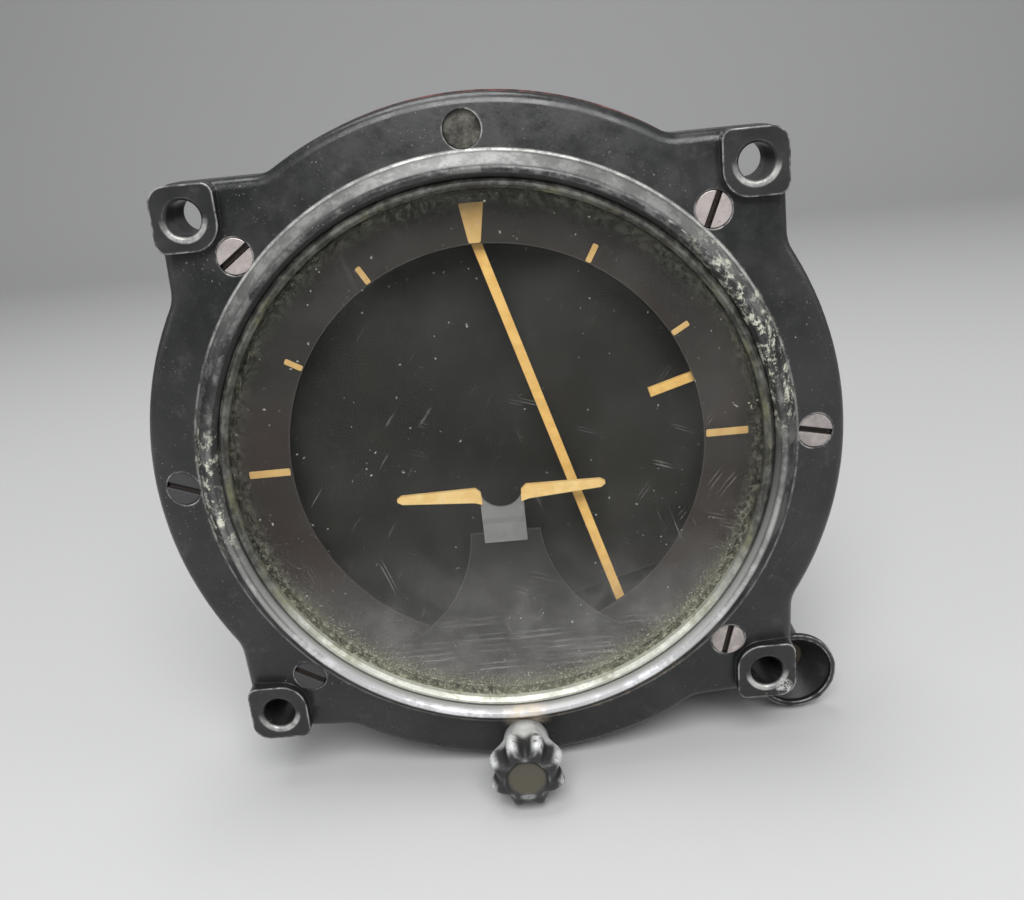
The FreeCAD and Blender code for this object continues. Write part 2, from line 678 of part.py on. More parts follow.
def place(thing, frame, x="0", y="0", z="0", rotation=None):
    """Put a piece that is drawn about its own origin into a frame."""
    for name, text in thing.ExpressionEngine:
        if "Placement" in name:
            thing.setExpression(name, None)
    here = FreeCAD.Placement(FreeCAD.Vector(number(x), number(y), number(z)),
                             rotation or thing.Placement.Rotation)
    thing.Placement = frame.multiply(here)
    return thing


def turned(label, corners, kept=True):
    body = new_body(label, kept)
    turn(body, corners)
    return body


def turned_ring(label, front, back, inner, outer):
    return turned(label, tube_profile(front, back, inner, outer))


def pocket_circle(body, role, offset, across, up, radius, length, reverse=False):
    sketch = sketch_on(body, role, offset)
    circle(sketch, across, up, radius)
    feature = body.newObject("PartDesign::Pocket", "Pocket")
    feature.Profile = sketch
    bind(feature, "Length", length)
    feature.Reversed = reverse
    return finish_feature(body, feature)


# ---------------------------------------------------------------- glass, mask, airplane

def glass_parts():
    bore = "glass_bore_radius - glass_clearance"
    front = "glass_front - retainer_proud"
    inner = "%s - retainer_width" % bore
    ring = turned("retaining_ring", [
        ("glass_front", inner), ("glass_front", bore), (front + " + 0.9", bore),
        (front, "%s - 0.7" % bore), (front, inner + " + 0.6"), (front + " + 0.8", inner)])
    turned("cover_glass", [("glass_front", "0"), (GLASS_BACK, "0"),
                           (GLASS_BACK, bore), ("glass_front", bore)])
    turned_ring("glass_gasket", GLASS_BACK, GLASS_BACK + " + gasket_thick",
                "%s - gasket_width" % bore, bore)
    return ring


MASK_BACK = "mask_front + mask_thick"
MASK_OUTER = "case_bore - glass_clearance"


def mask_parts():
    turned_ring("dial_mask", "mask_front", MASK_BACK, "mask_aperture", MASK_OUTER)
    turned_ring("mask_ring", MASK_BACK, MASK_BACK + " + mask_ring_thick",
                MASK_OUTER + " - mask_ring_width", MASK_OUTER)


def side_arc(sketch, start, end, radius):
    """Arc that hollows the side between two points given as pairs of formulas."""
    first = FreeCAD.Vector(number(start[0]), number(start[1]), 0)
    last = FreeCAD.Vector(number(end[0]), number(end[1]), 0)
    chord = last.sub(first)
    size = number(radius)
    drop = math.sqrt(size ** 2 - (chord.Length / 2) ** 2)
    outward = FreeCAD.Vector(chord.y, -chord.x, 0).normalize()
    centre = first.add(last).multiply(0.5).add(outward.multiply(drop))
    begin, finish = last.sub(centre), first.sub(centre)
    ring = Part.Circle(centre, FreeCAD.Vector(0, 0, 1), size)
    arc = sketch.addGeometry(Part.ArcOfCircle(ring, math.atan2(begin.y, begin.x),
                                              math.atan2(finish.y, finish.x)), False)
    drive(sketch, "Radius", (arc,), radius)
    return arc


def lower_shield():
    """Bell-shaped plate over the foot of the window."""
    body = new_body("lower_shield")
    front = "mask_front - shield_thick"
    sketch = sketch_on(body, "XZ_Plane", "-(%s)" % front)
    right_foot = ("shield_foot_half", "shield_foot")
    left_foot = ("-shield_foot_half", "shield_foot")
    right_top = ("shield_top_half", "shield_top")
    left_top = ("-shield_top_half", "shield_top")
    corners = [right_foot, right_top, left_top, left_foot]
    places = [FreeCAD.Vector(number(x), number(z), 0) for x, z in corners]
    top = sketch.addGeometry(Part.LineSegment(places[1], places[2]), False)
    low = sketch.addGeometry(Part.LineSegment(places[3], places[0]), False)
    for edge, point, corner in ((top, 1, right_top), (top, 2, left_top),
                                (low, 1, left_foot), (low, 2, right_foot)):
        pin_point(sketch, edge, point, *corner)
    for start, end, ends in ((right_foot, right_top, ((low, 2), (top, 1))),
                             (left_top, left_foot, ((top, 2), (low, 1)))):
        arc = side_arc(sketch, start, end, "shield_side_radius")
        for point, (edge, other) in zip((2, 1), ends):
            sketch.addConstraint(Sketcher.Constraint("Coincident", arc, point, edge, other))
    extrude(body, sketch, "Pad", "shield_thick")
    return body


def airplane():
    """Miniature airplane on its bent bracket."""
    plate_front = "wing_y + wing_thick"
    plate_back = plate_front + " + bracket_thick"
    shield_front = "mask_front - shield_thick"
    body = new_body("airplane_bracket")
    slab(body, plate_front, plate_back,
         [("-bracket_half", "bracket_bend"), ("bracket_half", "bracket_bend"),
          ("bracket_half", "bracket_top"), ("bracket_half + ear_reach", "bracket_top + 0.4"),
          ("bracket_half + ear_reach", "wing_top_root - 1"),
          ("bracket_half - 0.3", "wing_top_root - 1"), ("bracket_half - 1", "bracket_top"),
          ("-bracket_half + 1", "bracket_top"), ("-bracket_half + 0.3", "wing_top_root - 1"),
          ("-bracket_half - ear_reach", "wing_top_root - 1"),
          ("-bracket_half - ear_reach", "bracket_top + 0.4"),
          ("-bracket_half", "bracket_top")])
    sketch = sketch_on(body, "YZ_Plane", "-bracket_half")
    step = "((%s) - (%s))" % (shield_front, plate_back)
    polygon(sketch, [(plate_front, "bracket_bend"),
                     (shield_front + " - bracket_thick", "bracket_bend - %s - 1" % step),
                     (shield_front + " - bracket_thick", "shield_top - 2"),
                     (shield_front, "shield_top - 2"),
                     (shield_front, "bracket_bend - %s - 0.6" % step),
                     (plate_back, "bracket_bend + 0.2"), (plate_front, "bracket_bend + 0.2")])
    extrude(body, sketch, "Pad", "2 * bracket_half", backward=False)
    notch = pocket_circle(body, "XZ_Plane", "-(%s)" % plate_front, "0",
                          "bracket_top + notch_radius - notch_depth", "notch_radius",
                          "bracket_thick")
    wings = new_body("airplane_wings")
    for side in ("", "-"):
        sketch = sketch_on(wings, "XZ_Plane", "-wing_y")
        corners = [("wing_root_x", "wing_low_root"), ("wing_root_x + 1.6", "wing_low_root + 0.5"),
                   ("wing_tip_x - 0.9", "wing_low_tip"), ("wing_tip_x", "wing_low_tip + 0.6"),
                   ("wing_tip_x", "wing_top_tip - 0.6"), ("wing_tip_x - 0.9", "wing_top_tip"),
                   ("wing_root_x + 1.2", "wing_top_root"),
                   ("wing_root_x + 0.2", "wing_top_root - 0.9")]
        polygon(sketch, [(side + "(%s)" % x, z) for x, z in corners])
        extrude(wings, sketch, "Pad", "wing_thick")
    return notch


# ---------------------------------------------------------------- screws and seal

def ring_screws():
    """Slotted fillister screws round the ring; the top one sits deeper, under its seal."""
    screws = []
    for turn_angle, slot_angle in zip((0, 45, 90, 135, 225, 270, 315),
                                      (10, 68, -12, 75, -30, -20, 35)):
        deeper = "top_screw_drop" if turn_angle == 0 else "0"
        head_front = "screw_seat - screw_head_height + %s" % deeper
        head = cylinder("Head", "screw_head_radius", "screw_head_height")
        shank = cylinder("Shank", "screw_shank_radius", "screw_length - %s + 0.5" % deeper,
                         y="screw_head_height - 0.5")
        slot = block("Slot", ("-screw_head_radius - 1", "-1", "-slot_width / 2"),
                     ("screw_head_radius + 1", "slot_depth", "slot_width / 2"))
        screw = cut("Screw", fuse("Blank", head, shank), slot)
        around = FreeCAD.Rotation(FreeCAD.Vector(0, 1, 0), -slot_angle)
        screw.Placement.Rotation = around
        bind(screw, "Placement.Base.x", "screw_circle * sin(%d)" % turn_angle)
        bind(screw, "Placement.Base.y", head_front)
        bind(screw, "Placement.Base.z", "screw_circle * cos(%d)" % turn_angle)
        screws.append(screw)
    together("bezel_screws", *screws)
    seal = cylinder("Seal", "screw_head_radius",
                    "screw_seat + top_screw_drop - screw_head_height - seal_front",
                    y="seal_front", z="screw_circle")
    keep(seal, "seal_plug")


# ---------------------------------------------------------------- case

HUB_BACK = "disc_front + disc_thick + disc_hub_length"
ARM_FRONT = HUB_BACK + " + 1"
ARM_SCREW_Y = "(%s + 6)" % ARM_FRONT
CASE_FRONT = "flange_back + joint_gasket"
CASE_OUTER = "case_bore + case_wall"
COVER_FRONT = "case_back + cover_gasket"
COVER_BACK = COVER_FRONT + " + cover_thick"


def case_parts():
    gasket = turned_ring("frame_gasket", "flange_back", CASE_FRONT, "case_bore",
                         "flange_radius + joint_gasket_proud")
    pocket_ring(gasket, "flange_back", "joint_gasket", "screw_shank_radius + screw_clearance")
    pocket_circle(gasket, "XZ_Plane", "-flange_back", "0", "-knob_axis_drop",
                  "shaft_radius + 0.5", "joint_gasket")

    body = new_body("case_body")
    flange_end = CASE_FRONT + " + case_flange_thick"
    turn(body, [(CASE_FRONT, "case_bore"), ("case_back", "case_bore"),
                ("case_back", "cover_radius"),
                ("case_back - rear_flange_thick", "cover_radius"),
                ("case_back - rear_flange_thick - 1.5", CASE_OUTER),
                (flange_end + " + 1.5", CASE_OUTER),
                (flange_end, "case_flange_radius - 1"),
                (flange_end + " - 1", "case_flange_radius"),
                (CASE_FRONT, "case_flange_radius")], twist=SEAM_TWIST)
    sketch = sketch_on(body, "XZ_Plane", "-(%s)" % CASE_FRONT)
    rounded_box(sketch, "-channel_half", "channel_half", "-channel_foot", "-case_bore - 1",
                ("channel_corner", "channel_corner", "0.2", "0.2"))
    extrude(body, sketch, "Pad", "case_back - rear_flange_thick / 2 - (%s)" % CASE_FRONT)
    slab(body, CASE_FRONT, "case_back", radius="case_bore", kind="Pocket")
    slab(body, CHANNEL_FRONT, CHANNEL_BACK,
         box_corners("-channel_half + channel_wall", "channel_half - channel_wall",
                     "-channel_foot + channel_wall - 0.5", "-case_bore - channel_roof"),
         kind="Pocket")
    pocket_ring(body, CASE_FRONT, "case_flange_thick + 4",
                "screw_shank_radius + screw_clearance")
    pocket_circle(body, "XZ_Plane", "-(%s)" % CASE_FRONT, "0", "-knob_axis_drop",
                  "shaft_radius + shaft_fit", "%s - (%s)" % (CHANNEL_FRONT, CASE_FRONT))
    pocket_circle(body, "XZ_Plane", "-(%s)" % CHANNEL_BACK, "0", "-knob_axis_drop",
                  "shaft_radius + shaft_fit", "shaft_end + 1 - (%s)" % CHANNEL_BACK)
    pocket_circle(body, "XY_Plane", "-(%s) - 1" % CASE_OUTER, "0", PLUNGER_Y,
                  "guide_radius", "case_wall + 3", reverse=True)
    sketch = sketch_on(body, "YZ_Plane", "channel_half - channel_wall - 1")
    circle(sketch, "pipe_y", "-cup_drop", "pipe_radius - pipe_wall")
    pad_up(body, sketch, "Pocket", "channel_wall + 2")
    for side in ("", "-"):
        for start, radius, length in (("-(%s) - 1" % CASE_OUTER, "arm_screw_head + 0.2",
                                       "(%s) + 1 - arm_screw_seat" % CASE_OUTER),
                                      ("-arm_screw_seat - 1", "arm_screw_radius + shaft_fit",
                                       "case_wall + 3")):
            sketch = sketch_on(body, "YZ_Plane", start)
            circle(sketch, ARM_SCREW_Y, side + "arm_screw_rise", radius)
            pad_up(body, sketch, "Pocket", length)
    screw = pocket_circle(body, "XZ_Plane", "-case_back + rear_flange_thick", "0",
                          "cover_screw_circle", "cover_screw_radius",
                          "rear_flange_thick + 1")
    repeat(body, screw, "6")
    return body


CHANNEL_FRONT = "cam_y - 8"
CHANNEL_BACK = "cam_y + cam_width + 4"
PLUNGER_Y = "cam_y + cam_width / 2"


def pocket_ring(body, front, length, radius):
    """Seven holes on the screw circle, as in the casting."""
    sketch = sketch_on(body, "XZ_Plane", "-(%s)" % front)
    circle(sketch, "-screw_circle * sin(45)", "-screw_circle * cos(45)", radius)
    hole = extrude(body, sketch, "Pocket", length)
    return repeat(body, hole, "7", "270")


def rear_parts():
    gasket = turned_ring("rear_gasket", "case_back", COVER_FRONT, "case_bore", "cover_radius")
    cover_holes(gasket, "case_back", "cover_gasket")
    cover = turned("rear_cover", [
        ("cover_boss_front", "bearing_radius + bearing_fit"),
        ("cover_boss_front + bearing_width + 0.6", "bearing_radius + bearing_fit"),
        ("cover_boss_front + bearing_width + 0.6", "cover_port"),
        (COVER_BACK, "cover_port"), (COVER_BACK, "cover_radius - 1"),
        (COVER_BACK + " - 1", "cover_radius"), (COVER_FRONT, "cover_radius"),
        (COVER_FRONT, "cover_boss_radius + 4"),
        (COVER_FRONT + " - 4", "cover_boss_radius"),
        ("cover_boss_front", "cover_boss_radius")])
    cover_holes(cover, COVER_FRONT, "cover_thick")
    screws = []
    for index in range(6):
        head = cylinder("CoverHead", "cover_head_radius", "cover_head_height")
        shank = cylinder("CoverShank", "cover_screw_radius - 0.05",
                         "cover_thick + cover_gasket + rear_flange_thick - 1",
                         direction=(0, -1, 0))
        slot = block("CoverSlot", ("-cover_head_radius - 1", "cover_head_height - 0.8",
                                   "-slot_width / 2"),
                     ("cover_head_radius + 1", "cover_head_height + 1", "slot_width / 2"))
        screw = cut("CoverScrew", fuse("CoverBlank", head, shank), slot)
        screw.Placement.Rotation = FreeCAD.Rotation(FreeCAD.Vector(0, 1, 0), 37 * index)
        bind(screw, "Placement.Base.x", "cover_screw_circle * sin(%d)" % (60 * index))
        bind(screw, "Placement.Base.y", COVER_BACK)
        bind(screw, "Placement.Base.z", "cover_screw_circle * cos(%d)" % (60 * index))
        screws.append(screw)
    together("rear_screws", *screws)
    fitting = turned("FittingBlank", [
        (COVER_BACK, "port_bore"), (COVER_BACK + " + port_length", "port_bore"),
        (COVER_BACK + " + port_length", "port_radius - 1.6"),
        (COVER_BACK + " + port_length - 0.8", "port_radius - 0.8"),
        (COVER_BACK + " + 6", "port_radius - 0.8"), (COVER_BACK + " + 6", "port_radius + 2"),
        (COVER_BACK + " + 5.2", "port_radius + 3"), (COVER_BACK, "port_radius + 3")], False)
    cutters = []
    for index in range(6):
        flat = block("Flat", ("-20", COVER_BACK + " - 1", "port_radius + 1.9"),
                     ("20", COVER_BACK + " + 6.5", "port_radius + 8"))
        turner = FreeCAD.Rotation(FreeCAD.Vector(0, 1, 0), 60 * index)
        cutters.append(place(flat, FreeCAD.Placement(FreeCAD.Vector(), turner), x="-20",
                             y=COVER_BACK + " - 1", z="port_radius + 1.9"))
    keep(cut("suction_fitting", fitting, *cutters), "suction_fitting")


def cover_holes(body, front, length):
    hole = pocket_circle(body, "XZ_Plane", "-(%s)" % front, "0", "cover_screw_circle",
                         "cover_screw_radius", length)
    return repeat(body, hole, "6")


def inlet_parts():
    """Open mouth behind the corner pad, and its pipe into the side of the channel."""
    def tube(label, wall, ahead):
        """Solid form of mouth and pipe, smaller by wall and longer by ahead at its ends."""
        mouth = "cup_radius - (%s)" % wall
        radius = "pipe_radius - (%s)" % wall
        rim = cylinder("InletRim", mouth, "cup_rim + %s" % ahead, x="cup_x",
                       y="cup_front - %s" % ahead, z="-cup_drop")
        cone = doc.addObject("Part::Cone", "InletCone")
        bind(cone, "Radius1", mouth)
        bind(cone, "Radius2", radius)
        bind(cone, "Height", "cup_depth - cup_rim")
        cone.Placement.Rotation = rim.Placement.Rotation
        for axis, text in (("x", "cup_x"), ("y", "cup_front + cup_rim"), ("z", "-cup_drop")):
            bind(cone, "Placement.Base." + axis, text)
        back = cylinder("InletPipe", radius, "pipe_y - pipe_bend - cup_front - cup_depth",
                        x="cup_x", y="cup_front + cup_depth", z="-cup_drop")
        bend = doc.addObject("Part::Torus", "InletBend")
        bind(bend, "Radius1", "pipe_bend")
        bind(bend, "Radius2", radius)
        bend.Angle3 = 90
        for axis, text in (("x", "cup_x - pipe_bend"), ("y", "pipe_y - pipe_bend"),
                           ("z", "-cup_drop")):
            bind(bend, "Placement.Base." + axis, text)
        across = cylinder("InletRun", radius,
                          "cup_x - pipe_bend - channel_half + %s" % ahead,
                          x="cup_x - pipe_bend", y="pipe_y", z="-cup_drop",
                          direction=(-1, 0, 0))
        return fuse(label, rim, cone, back, bend, across)

    keep(cut("inlet_elbow", tube("InletOuter", "0", "0"), tube("InletInner", "pipe_wall", "1")),
         "inlet_elbow")
    throat = "cup_front + cup_depth"
    screen = turned("inlet_screen", [
        (throat, "0"), (throat + " + screen_thick", "0"),
        (throat + " + screen_thick", "pipe_radius - pipe_wall - bearing_fit"),
        (throat, "pipe_radius - pipe_wall - bearing_fit")])
    hole = pocket_circle(screen, "XZ_Plane", "-(%s)" % throat, "0",
                         "(pipe_radius - pipe_wall) / 2", "screen_hole", "screen_thick")
    repeat(screen, hole, "6")
    bind(screen, "Placement.Base.x", "cup_x")
    bind(screen, "Placement.Base.z", "-cup_drop")


def bearing_arm():
    """Arm from the side of the case that the bar arm never sweeps."""
    front = ARM_FRONT
    sketch_body = new_body("bearing_arm")
    slab(sketch_body, front, front + " + bracket_arm_thick", radius="bearing_radius + 3")
    slab(sketch_body, front, front + " + bracket_arm_thick",
         box_corners("-case_bore - 2", "0", "-bracket_arm_width / 2", "bracket_arm_width / 2"))
    slab(sketch_body, front, front + " + bracket_arm_foot",
         box_corners("-case_bore - 2", "-case_bore + 4", "-bracket_arm_width",
                     "bracket_arm_width"))
    reach = "case_bore"
    turn(sketch_body, [(front + " - 1", reach), (front + " + 20", reach),
                       (front + " + 20", "case_bore + 20"), (front + " - 1", "case_bore + 20")],
         "Groove", twist=SEAM_TWIST)
    pocket_circle(sketch_body, "XZ_Plane", "-(%s)" % front, "0", "0",
                  "bearing_radius + bearing_fit", "bracket_arm_thick")
    screws = []
    for side in ("", "-"):
        pocket = sketch_on(sketch_body, "YZ_Plane", "-case_bore - 3")
        circle(pocket, ARM_SCREW_Y, side + "arm_screw_rise", "arm_screw_radius + shaft_fit")
        pad_up(sketch_body, pocket, "Pocket", "7")
        shank = cylinder("ArmShank", "arm_screw_radius", "arm_screw_seat - case_bore + 3.5",
                         x="-arm_screw_seat", y=ARM_SCREW_Y, z=side + "arm_screw_rise",
                         direction=(1, 0, 0))
        head = cylinder("ArmHead", "arm_screw_head", "1.6", x="-arm_screw_seat",
                        y=ARM_SCREW_Y, z=side + "arm_screw_rise", direction=(-1, 0, 0))
        slot = block("ArmSlot", ("-arm_screw_seat - 2.6", ARM_SCREW_Y + " - 4",
                                 side + "arm_screw_rise - slot_width / 2"),
                     ("-arm_screw_seat - 0.9", ARM_SCREW_Y + " + 4",
                      side + "arm_screw_rise + slot_width / 2"))
        screws.append(cut("ArmScrew", fuse("ArmBlank", shank, head), slot))
    together("arm_screws", *screws)
    turned_ring("front_bearing", front + " + 0.5", front + " + 0.5 + bearing_width",
                "roll_shaft_radius + bearing_fit", "bearing_radius")
    turned_ring("rear_bearing", "cover_boss_front + 0.5",
                "cover_boss_front + 0.5 + bearing_width",
                "roll_shaft_radius + bearing_fit", "bearing_radius")


# ---------------------------------------------------------------- caging gear

def caging_parts():
    knob = turned("caging_knob", [
        ("-knob_back", "shaft_radius"), ("-knob_back", "knob_neck - 0.5"),
        ("-knob_back - 0.5", "knob_neck"), ("-knob_back - 3.2", "knob_neck"),
        ("-knob_front + 5.6", "knob_radius - 0.8"), ("-knob_front + 4", "knob_radius"),
        ("-knob_front + 2.4", "knob_radius - 0.2"), ("-knob_front + 0.8", "knob_radius - 1.2"),
        ("-knob_front", "knob_radius - 2.2"),
        ("-knob_front", "knob_dish"), ("-knob_front + knob_dish_depth", "knob_dish - 0.6"),
        ("-knob_front + knob_dish_depth", "0"), ("-knob_back - 4", "0"),
        ("-knob_back - 4", "shaft_radius")])
    flute = pocket_circle(knob, "XZ_Plane", "knob_front + 1", "0",
                          "knob_radius + knob_flute_radius - knob_flute_bite",
                          "knob_flute_radius", "knob_front - knob_back - 2.2")
    repeat(knob, flute, "knob_flutes")
    shaft = turned("caging_shaft", [
        ("-knob_back - 4", "0"), ("shaft_end", "0"), ("shaft_end", "shaft_radius"),
        ("-knob_back - 4", "shaft_radius")])
    bush = turned_ring("caging_bush", "0.9", "0.9 + bush_length", "shaft_radius + shaft_fit",
                       "bush_radius")
    packing = turned_ring("shaft_packing", "0.9 + bush_length", "flange_back",
                          "shaft_radius + shaft_fit", "bush_radius")
    for piece in (knob, shaft, bush, packing):
        bind(piece, "Placement.Base.z", "-knob_axis_drop")

    steps = 36
    travel = math.radians(number("knob_travel"))
    low, rise = number("cam_low"), number("cam_rise")
    points = []
    for index in range(steps):
        angle = 2 * math.pi * index / steps
        share = angle / travel if angle <= travel else \
            (2 * math.pi - 0.3 - angle) / (2 * math.pi - 0.3 - travel)
        radius = low + rise * max(0, min(1, share))
        points.append(FreeCAD.Vector(-radius * math.sin(angle), 0, radius * math.cos(angle)))
    curve = Part.BSplineCurve()
    curve.interpolate(points, PeriodicFlag=True)
    face = Part.Face(Part.Wire(curve.toShape()))
    cam = face.extrude(FreeCAD.Vector(0, number("cam_width"), 0))
    hole = Part.makeCylinder(number("shaft_radius"), number("cam_width"),
                             FreeCAD.Vector(), FreeCAD.Vector(0, 1, 0))
    feature = doc.addObject("Part::Feature", "caging_cam")
    feature.Shape = cam.cut(hole)
    feature.Placement = FreeCAD.Placement(
        FreeCAD.Vector(0, number("cam_y"), -number("knob_axis_drop")), FreeCAD.Rotation())
    keep(feature, "caging_cam")

    low_end = "-knob_axis_drop + cam_low + plunger_gap"
    plunger = turned("caging_plunger", [
        (low_end, "0"), ("-plunger_top", "0"), ("-plunger_top", "plunger_radius - 0.4"),
        ("-plunger_top - 0.4", "plunger_radius"), (low_end + " + 0.8", "plunger_radius"),
        (low_end, "plunger_radius - 0.9")])
    guide = turned_ring("plunger_guide", "-case_bore - channel_roof", "-case_bore + 0.6",
                        "plunger_radius + shaft_fit", "guide_radius")
    for piece in (plunger, guide):
        place(piece, LEVEL, y=PLUNGER_Y, rotation=SPIN_UP)


# ---------------------------------------------------------------- gimbal

def gimbal_parts():
    rail_outer = "rail_inner + rail_thick"
    body = new_body("gimbal_frame")
    half = "rail_depth / 2"
    outer = sketch_on(body, "XY_Plane", "-rail_depth / 2")
    rounded_box(outer, "-(%s)" % rail_outer, rail_outer, "gimbal_front", "gimbal_back",
                ["gimbal_corner"] * 4)
    pad_up(body, outer, "Pad", "rail_depth")
    boss = sketch_on(body, "YZ_Plane", "-(%s)" % rail_outer)
    circle(boss, "pitch_y", "0", "pitch_boss_radius")
    pad_up(body, boss, "Pad", "2 * (%s)" % rail_outer)
    inner = sketch_on(body, "XY_Plane", "-pitch_boss_radius - 1")
    rounded_box(inner, "-rail_inner", "rail_inner", "gimbal_front + gimbal_end_thick",
                "gimbal_back - gimbal_end_thick", ["gimbal_corner / 2"] * 4)
    pad_up(body, inner, "Pocket", "2 * pitch_boss_radius + 2")
    shaft = "roll_shaft_radius"
    turn(body, [("gimbal_front + 1", "0"), ("gimbal_front + 1", shaft + " + 2"),
                (ARM_FRONT + " + bearing_width + 0.9", shaft + " + 2"),
                (ARM_FRONT + " + bearing_width + 0.9", shaft),
                ("disc_front + disc_thick", shaft), ("disc_front + disc_thick", "0")])
    turn(body, [("gimbal_back - 1", "0"), ("cover_boss_front + bearing_width + 0.2", "0"),
                ("cover_boss_front + bearing_width + 0.2", shaft),
                ("cover_boss_front + 0.2", shaft), ("cover_boss_front + 0.2", shaft + " + 2"),
                ("gimbal_back - 1", shaft + " + 2")])
    hole = sketch_on(body, "YZ_Plane", "-(%s) - 1" % rail_outer)
    circle(hole, "pitch_y", "0", "pitch_bearing_radius + bearing_fit")
    pad_up(body, hole, "Pocket", "2 * (%s) + 2" % rail_outer)
    curved = sketch_on(body, "YZ_Plane", "rail_inner - 1")
    arc_slot(curved)
    pad_up(body, curved, "Pocket", "rail_thick + 2")
    screw = sketch_on(body, "YZ_Plane", "rail_inner + 2")
    circle(screw, "arm_pivot_y", "0", "arm_pivot_radius")
    pad_up(body, screw, "Pocket", "rail_thick")
    place(body, GIMBAL)

    disc = turned("horizon_disc", [
        ("disc_front", "0"), (HUB_BACK, "0"), (HUB_BACK, "disc_hub_radius"),
        ("disc_front + disc_thick", "disc_hub_radius"), ("disc_front + disc_thick", "disc_radius"),
        ("disc_front", "disc_radius")])
    slab(disc, "disc_front - 1", "disc_front + disc_thick + 1",
         box_corners("disc_chord", "disc_radius + 1", "-disc_radius", "disc_radius"),
         kind="Pocket")
    pocket_circle(disc, "XZ_Plane", "-disc_front - disc_thick", "0", "0",
                  "roll_shaft_radius + 0.02", "disc_hub_length")
    place(disc, GIMBAL)

    index = new_body("bank_index")
    outline = sketch_on(index, "YZ_Plane", "-index_width / 2")
    strip = "index_front + index_thick"
    riser = "mask_aperture + 0.4"
    polygon(outline, [("index_front", "index_inner"), (strip, "index_inner"), (strip, riser),
                      ("disc_front", riser), ("disc_front", riser + " + 3.5"),
                      ("disc_front - index_thick", riser + " + 3.5"),
                      ("disc_front - index_thick", riser + " + index_thick"),
                      ("index_front", riser + " + index_thick")])
    pad_up(index, outline, "Pad", "index_width")
    place(index, GIMBAL)

    bearings, weights = [], []
    for side in (1, -1):
        bearing = cut("PitchBearing",
                      cylinder("Race", "pitch_bearing_radius", "rail_thick - 2",
                               direction=(1, 0, 0)),
                      cylinder("Bore", "pitch_shaft_radius + bearing_fit", "rail_thick - 2",
                               direction=(1, 0, 0)))
        start = "rail_inner + 1" if side > 0 else "-rail_inner - rail_thick + 1"
        bearings.append(place(bearing, GIMBAL, x=start, y="pitch_y"))
        weight = cylinder("Weight", "balance_radius", "balance_length")
        weights.append(place(weight, GIMBAL, x="%d * balance_x" % side, y="gimbal_back"))
    together("pitch_bearings", *bearings)
    together("balance_weights", *weights)

    screw = new_body("arm_pivot_screw")
    turn(screw, [("rail_inner + 2", "0"), (ARM_OUTER + " + 1.5", "0"),
                 (ARM_OUTER + " + 1.5", "arm_pivot_radius + 1.2"),
                 (ARM_OUTER + " + 0.2", "arm_pivot_radius + 1.2"),
                 (ARM_OUTER + " + 0.2", "arm_pivot_radius"),
                 ("arm_u - 0.2", "arm_pivot_radius"), ("arm_u - 0.2", "arm_pivot_radius + 1.3"),
                 (rail_outer, "arm_pivot_radius + 1.3"), (rail_outer, "arm_pivot_radius"),
                 ("rail_inner + 2", "arm_pivot_radius")])
    place(screw, GIMBAL, y="arm_pivot_y", rotation=SIDEWAYS)


ARM_OUTER = "arm_u + arm_thick"
SIDEWAYS = FreeCAD.Rotation(FreeCAD.Vector(0, 0, 1), -90)


def pad_up(body, sketch, kind, length):
    """Pad or pocket along the sketch's own normal."""
    feature = body.newObject("PartDesign::" + kind, kind)
    feature.Profile = sketch
    bind(feature, "Length", length)
    feature.Reversed = kind == "Pocket"
    return finish_feature(body, feature)


def arc_slot(sketch):
    """Curved slot for the guide pin, about the pitch axis, on the dial side."""
    middle = FreeCAD.Vector(number("pitch_y"), 0, 0)
    gap = "(pin_radius + pin_slot_gap)"
    edges, ends = [], []
    for sign in ("-", "+"):
        radius = "(pin_ahead %s %s)" % (sign, gap)
        rise = radius + " * sin(pin_slot_sweep)"
        sweep = math.radians(number("pin_slot_sweep"))
        ring = Part.Circle(middle, FreeCAD.Vector(0, 0, 1), number(radius))
        arc = sketch.addGeometry(
            Part.ArcOfCircle(ring, math.pi - sweep, math.pi + sweep), False)
        pin_point(sketch, arc, 3, "pitch_y", "0")
        drive(sketch, "Radius", (arc,), radius)
        drive(sketch, "DistanceY", (-1, 1, arc, 1), rise)
        drive(sketch, "DistanceY", (-1, 1, arc, 2), "-" + rise)
        edges.append(arc)
        ends.append((sketch.Geometry[arc].StartPoint, sketch.Geometry[arc].EndPoint))
    for point in (1, 2):
        line = sketch.addGeometry(
            Part.LineSegment(ends[0][point - 1], ends[1][point - 1]), False)
        sketch.addConstraint(Sketcher.Constraint("Coincident", line, 1, edges[0], point))
        sketch.addConstraint(Sketcher.Constraint("Coincident", line, 2, edges[1], point))


# ---------------------------------------------------------------- gyro

